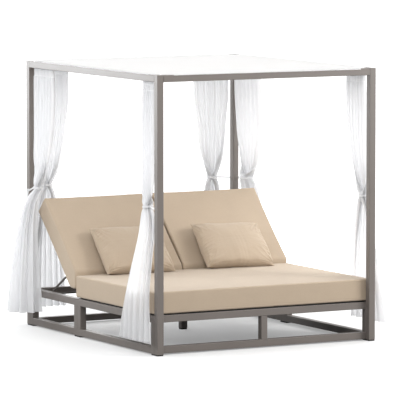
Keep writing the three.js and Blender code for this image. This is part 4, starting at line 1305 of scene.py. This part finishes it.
# Daylight from above comes through the roof cloth. Watts a square metre
TOP_LIGHT = 0.85
SKY = 0.7
BACKDROP = 1.05
FLOOR_GLOW = 0.27
FLOOR_BOUNCE = 0.26
FLOOR_SEEN = 0.55
# The camera as solved from the photo, with the bed's front beam at -0.980
CAMERA_PLACE = (-13.94657, -25.26650, 3.69309)
CAMERA_LENS = 355.12
CAMERA_TILT = 5.369
CAMERA_TURN = 28.923
SOLVED_FRONT = -0.980


def grey(level):
    return (level, level, level, 1)


def new_lamp(name, kind, power, direction):
    """A lamp that shines against a direction."""
    light = bpy.data.lights.new(name, kind)
    light.energy = power
    lamp = bpy.data.objects.new(name, light)
    lamp.rotation_euler = direction.to_track_quat("Z", "Y").to_euler()
    bpy.context.scene.collection.objects.link(lamp)
    return lamp


class DAYBED_OT_stage(bpy.types.Operator):
    """Makes the pale floor, the lamps, the world and the camera"""
    bl_idname = "daybed.stage"
    bl_label = "Stage"

    def execute(self, context):
        self.floor()
        self.world()
        self.lamps()
        self.camera()
        context.scene.view_settings.view_transform = "Standard"
        return {"FINISHED"}

    def floor(self):
        material, tree = new_material("studio_floor_white")
        # The floor is a white sweep to the eye and throws only a part of its light back up.
        seen = add(tree, "LightPath").outputs["Is Camera Ray"]
        tone = blend(tree, seen, grey(FLOOR_BOUNCE), grey(FLOOR_SEEN))
        plain = add(tree, "BsdfDiffuse", {"Color": tone}).outputs[0]
        # It fades to pure white away from the bed.
        away = add(tree, "VectorMath", {"operation": "LENGTH", 0: own_place(tree)}).outputs["Value"]
        sweep = add(tree, "MapRange", {
            "interpolation_type": "SMOOTHSTEP", "From Min": 1.6, "From Max": 5.0,
            "To Min": FLOOR_GLOW, "To Max": 1.0, "Value": away}).outputs["Result"]
        glow = add(tree, "Emission", {
            "Color": grey(1), "Strength": maths(tree, "MULTIPLY", seen, sweep)}).outputs[0]
        finished(material, add(tree, "AddShader", {0: plain, 1: glow}).outputs[0])
        reach = 90.0
        corners = [(x * reach, y * reach, 0) for x, y in ((-1, -1), (1, -1), (1, 1), (-1, 1))]
        piece = new_object("studio_floor", corners, [(0, 1, 2, 3)])
        piece.data.materials.append(material)

    def world(self):
        world = bpy.data.worlds.new("studio")
        world.use_nodes = True
        tree = world.node_tree
        tree.nodes.clear()
        ray = add(tree, "LightPath").outputs
        seen = add(tree, "Math", {"operation": "ADD", "use_clamp": True, 0: ray["Is Camera Ray"],
                                  1: ray["Is Transmission Ray"]}).outputs[0]
        soft = add(tree, "Background", {"Color": (0.98, 0.99, 1.0, 1), "Strength": SKY}).outputs[0]
        white = add(tree, "Background", {"Color": grey(1), "Strength": BACKDROP}).outputs[0]
        add(tree, "OutputWorld", {"Surface": mixed(tree, seen, soft, white)})
        bpy.context.scene.world = world

    def lamps(self):
        for name, (power, size, place, target, tint) in SOFT_BOXES.items():
            lamp = new_lamp(name, "AREA", power, Vector(place) - Vector(target))
            lamp.location = place
            lamp.data.shape = "RECTANGLE"
            lamp.data.size, lamp.data.size_y = size
            lamp.data.color = tint
        top = new_lamp("top", "SUN", TOP_LIGHT, Vector((0.45, 0.15, 1.0)))
        top.data.angle = math.radians(40)

    def camera(self):
        camera = bpy.data.cameras.new("camera")
        camera.sensor_width = 36.0
        camera.lens = CAMERA_LENS
        camera.clip_start, camera.clip_end = 0.5, 400.0
        view = bpy.data.objects.new("camera", camera)
        x, y, z = CAMERA_PLACE
        view.location = (x, y + (MODULE_FRONT - SOLVED_FRONT), z)
        view.rotation_euler = (math.radians(90 - CAMERA_TILT), 0.0, math.radians(-CAMERA_TURN))
        bpy.context.scene.collection.objects.link(view)
        bpy.context.scene.camera = view


class DAYBED_PT_panel(bpy.types.Panel):
    """Lists the daybed's sizes, colours and pieces"""
    bl_idname = "DAYBED_PT_panel"
    bl_label = "Daybed"
    bl_space_type = "VIEW_3D"
    bl_region_type = "UI"
    bl_category = "Daybed"

    def draw(self, context):
        for group in (sizes(), colours()):
            column = self.layout.column(align=True)
            for name in group.__annotations__:
                column.prop(group, name)
        column = self.layout.column(align=True)
        for operator in STEPS:
            column.operator(operator.bl_idname)


STEPS = (
    DAYBED_OT_frame,
    DAYBED_OT_seat_cushion,
    DAYBED_OT_back_cushions,
    DAYBED_OT_pillows,
    DAYBED_OT_roof,
    DAYBED_OT_curtains,
    DAYBED_OT_tie_backs,
    DAYBED_OT_stage,
)
CLASSES = (DaybedSizes, DaybedColours, *STEPS, DAYBED_PT_panel)


def register():
    for item in CLASSES:
        bpy.utils.register_class(item)
    bpy.types.Scene.daybed_sizes = PointerProperty(type=DaybedSizes)
    bpy.types.Scene.daybed_colours = PointerProperty(type=DaybedColours)


def unregister():
    del bpy.types.Scene.daybed_colours
    del bpy.types.Scene.daybed_sizes
    for item in reversed(CLASSES):
        bpy.utils.unregister_class(item)


def main():
    register()
    bpy.ops.daybed.frame()
    bpy.ops.daybed.seat_cushion()
    bpy.ops.daybed.back_cushions()
    bpy.ops.daybed.pillows()
    bpy.ops.daybed.roof()
    bpy.ops.daybed.curtains()
    bpy.ops.daybed.tie_backs()
    bpy.ops.daybed.stage()
    bpy.context.view_layer.update()


if __name__ == "__main__":
    main()
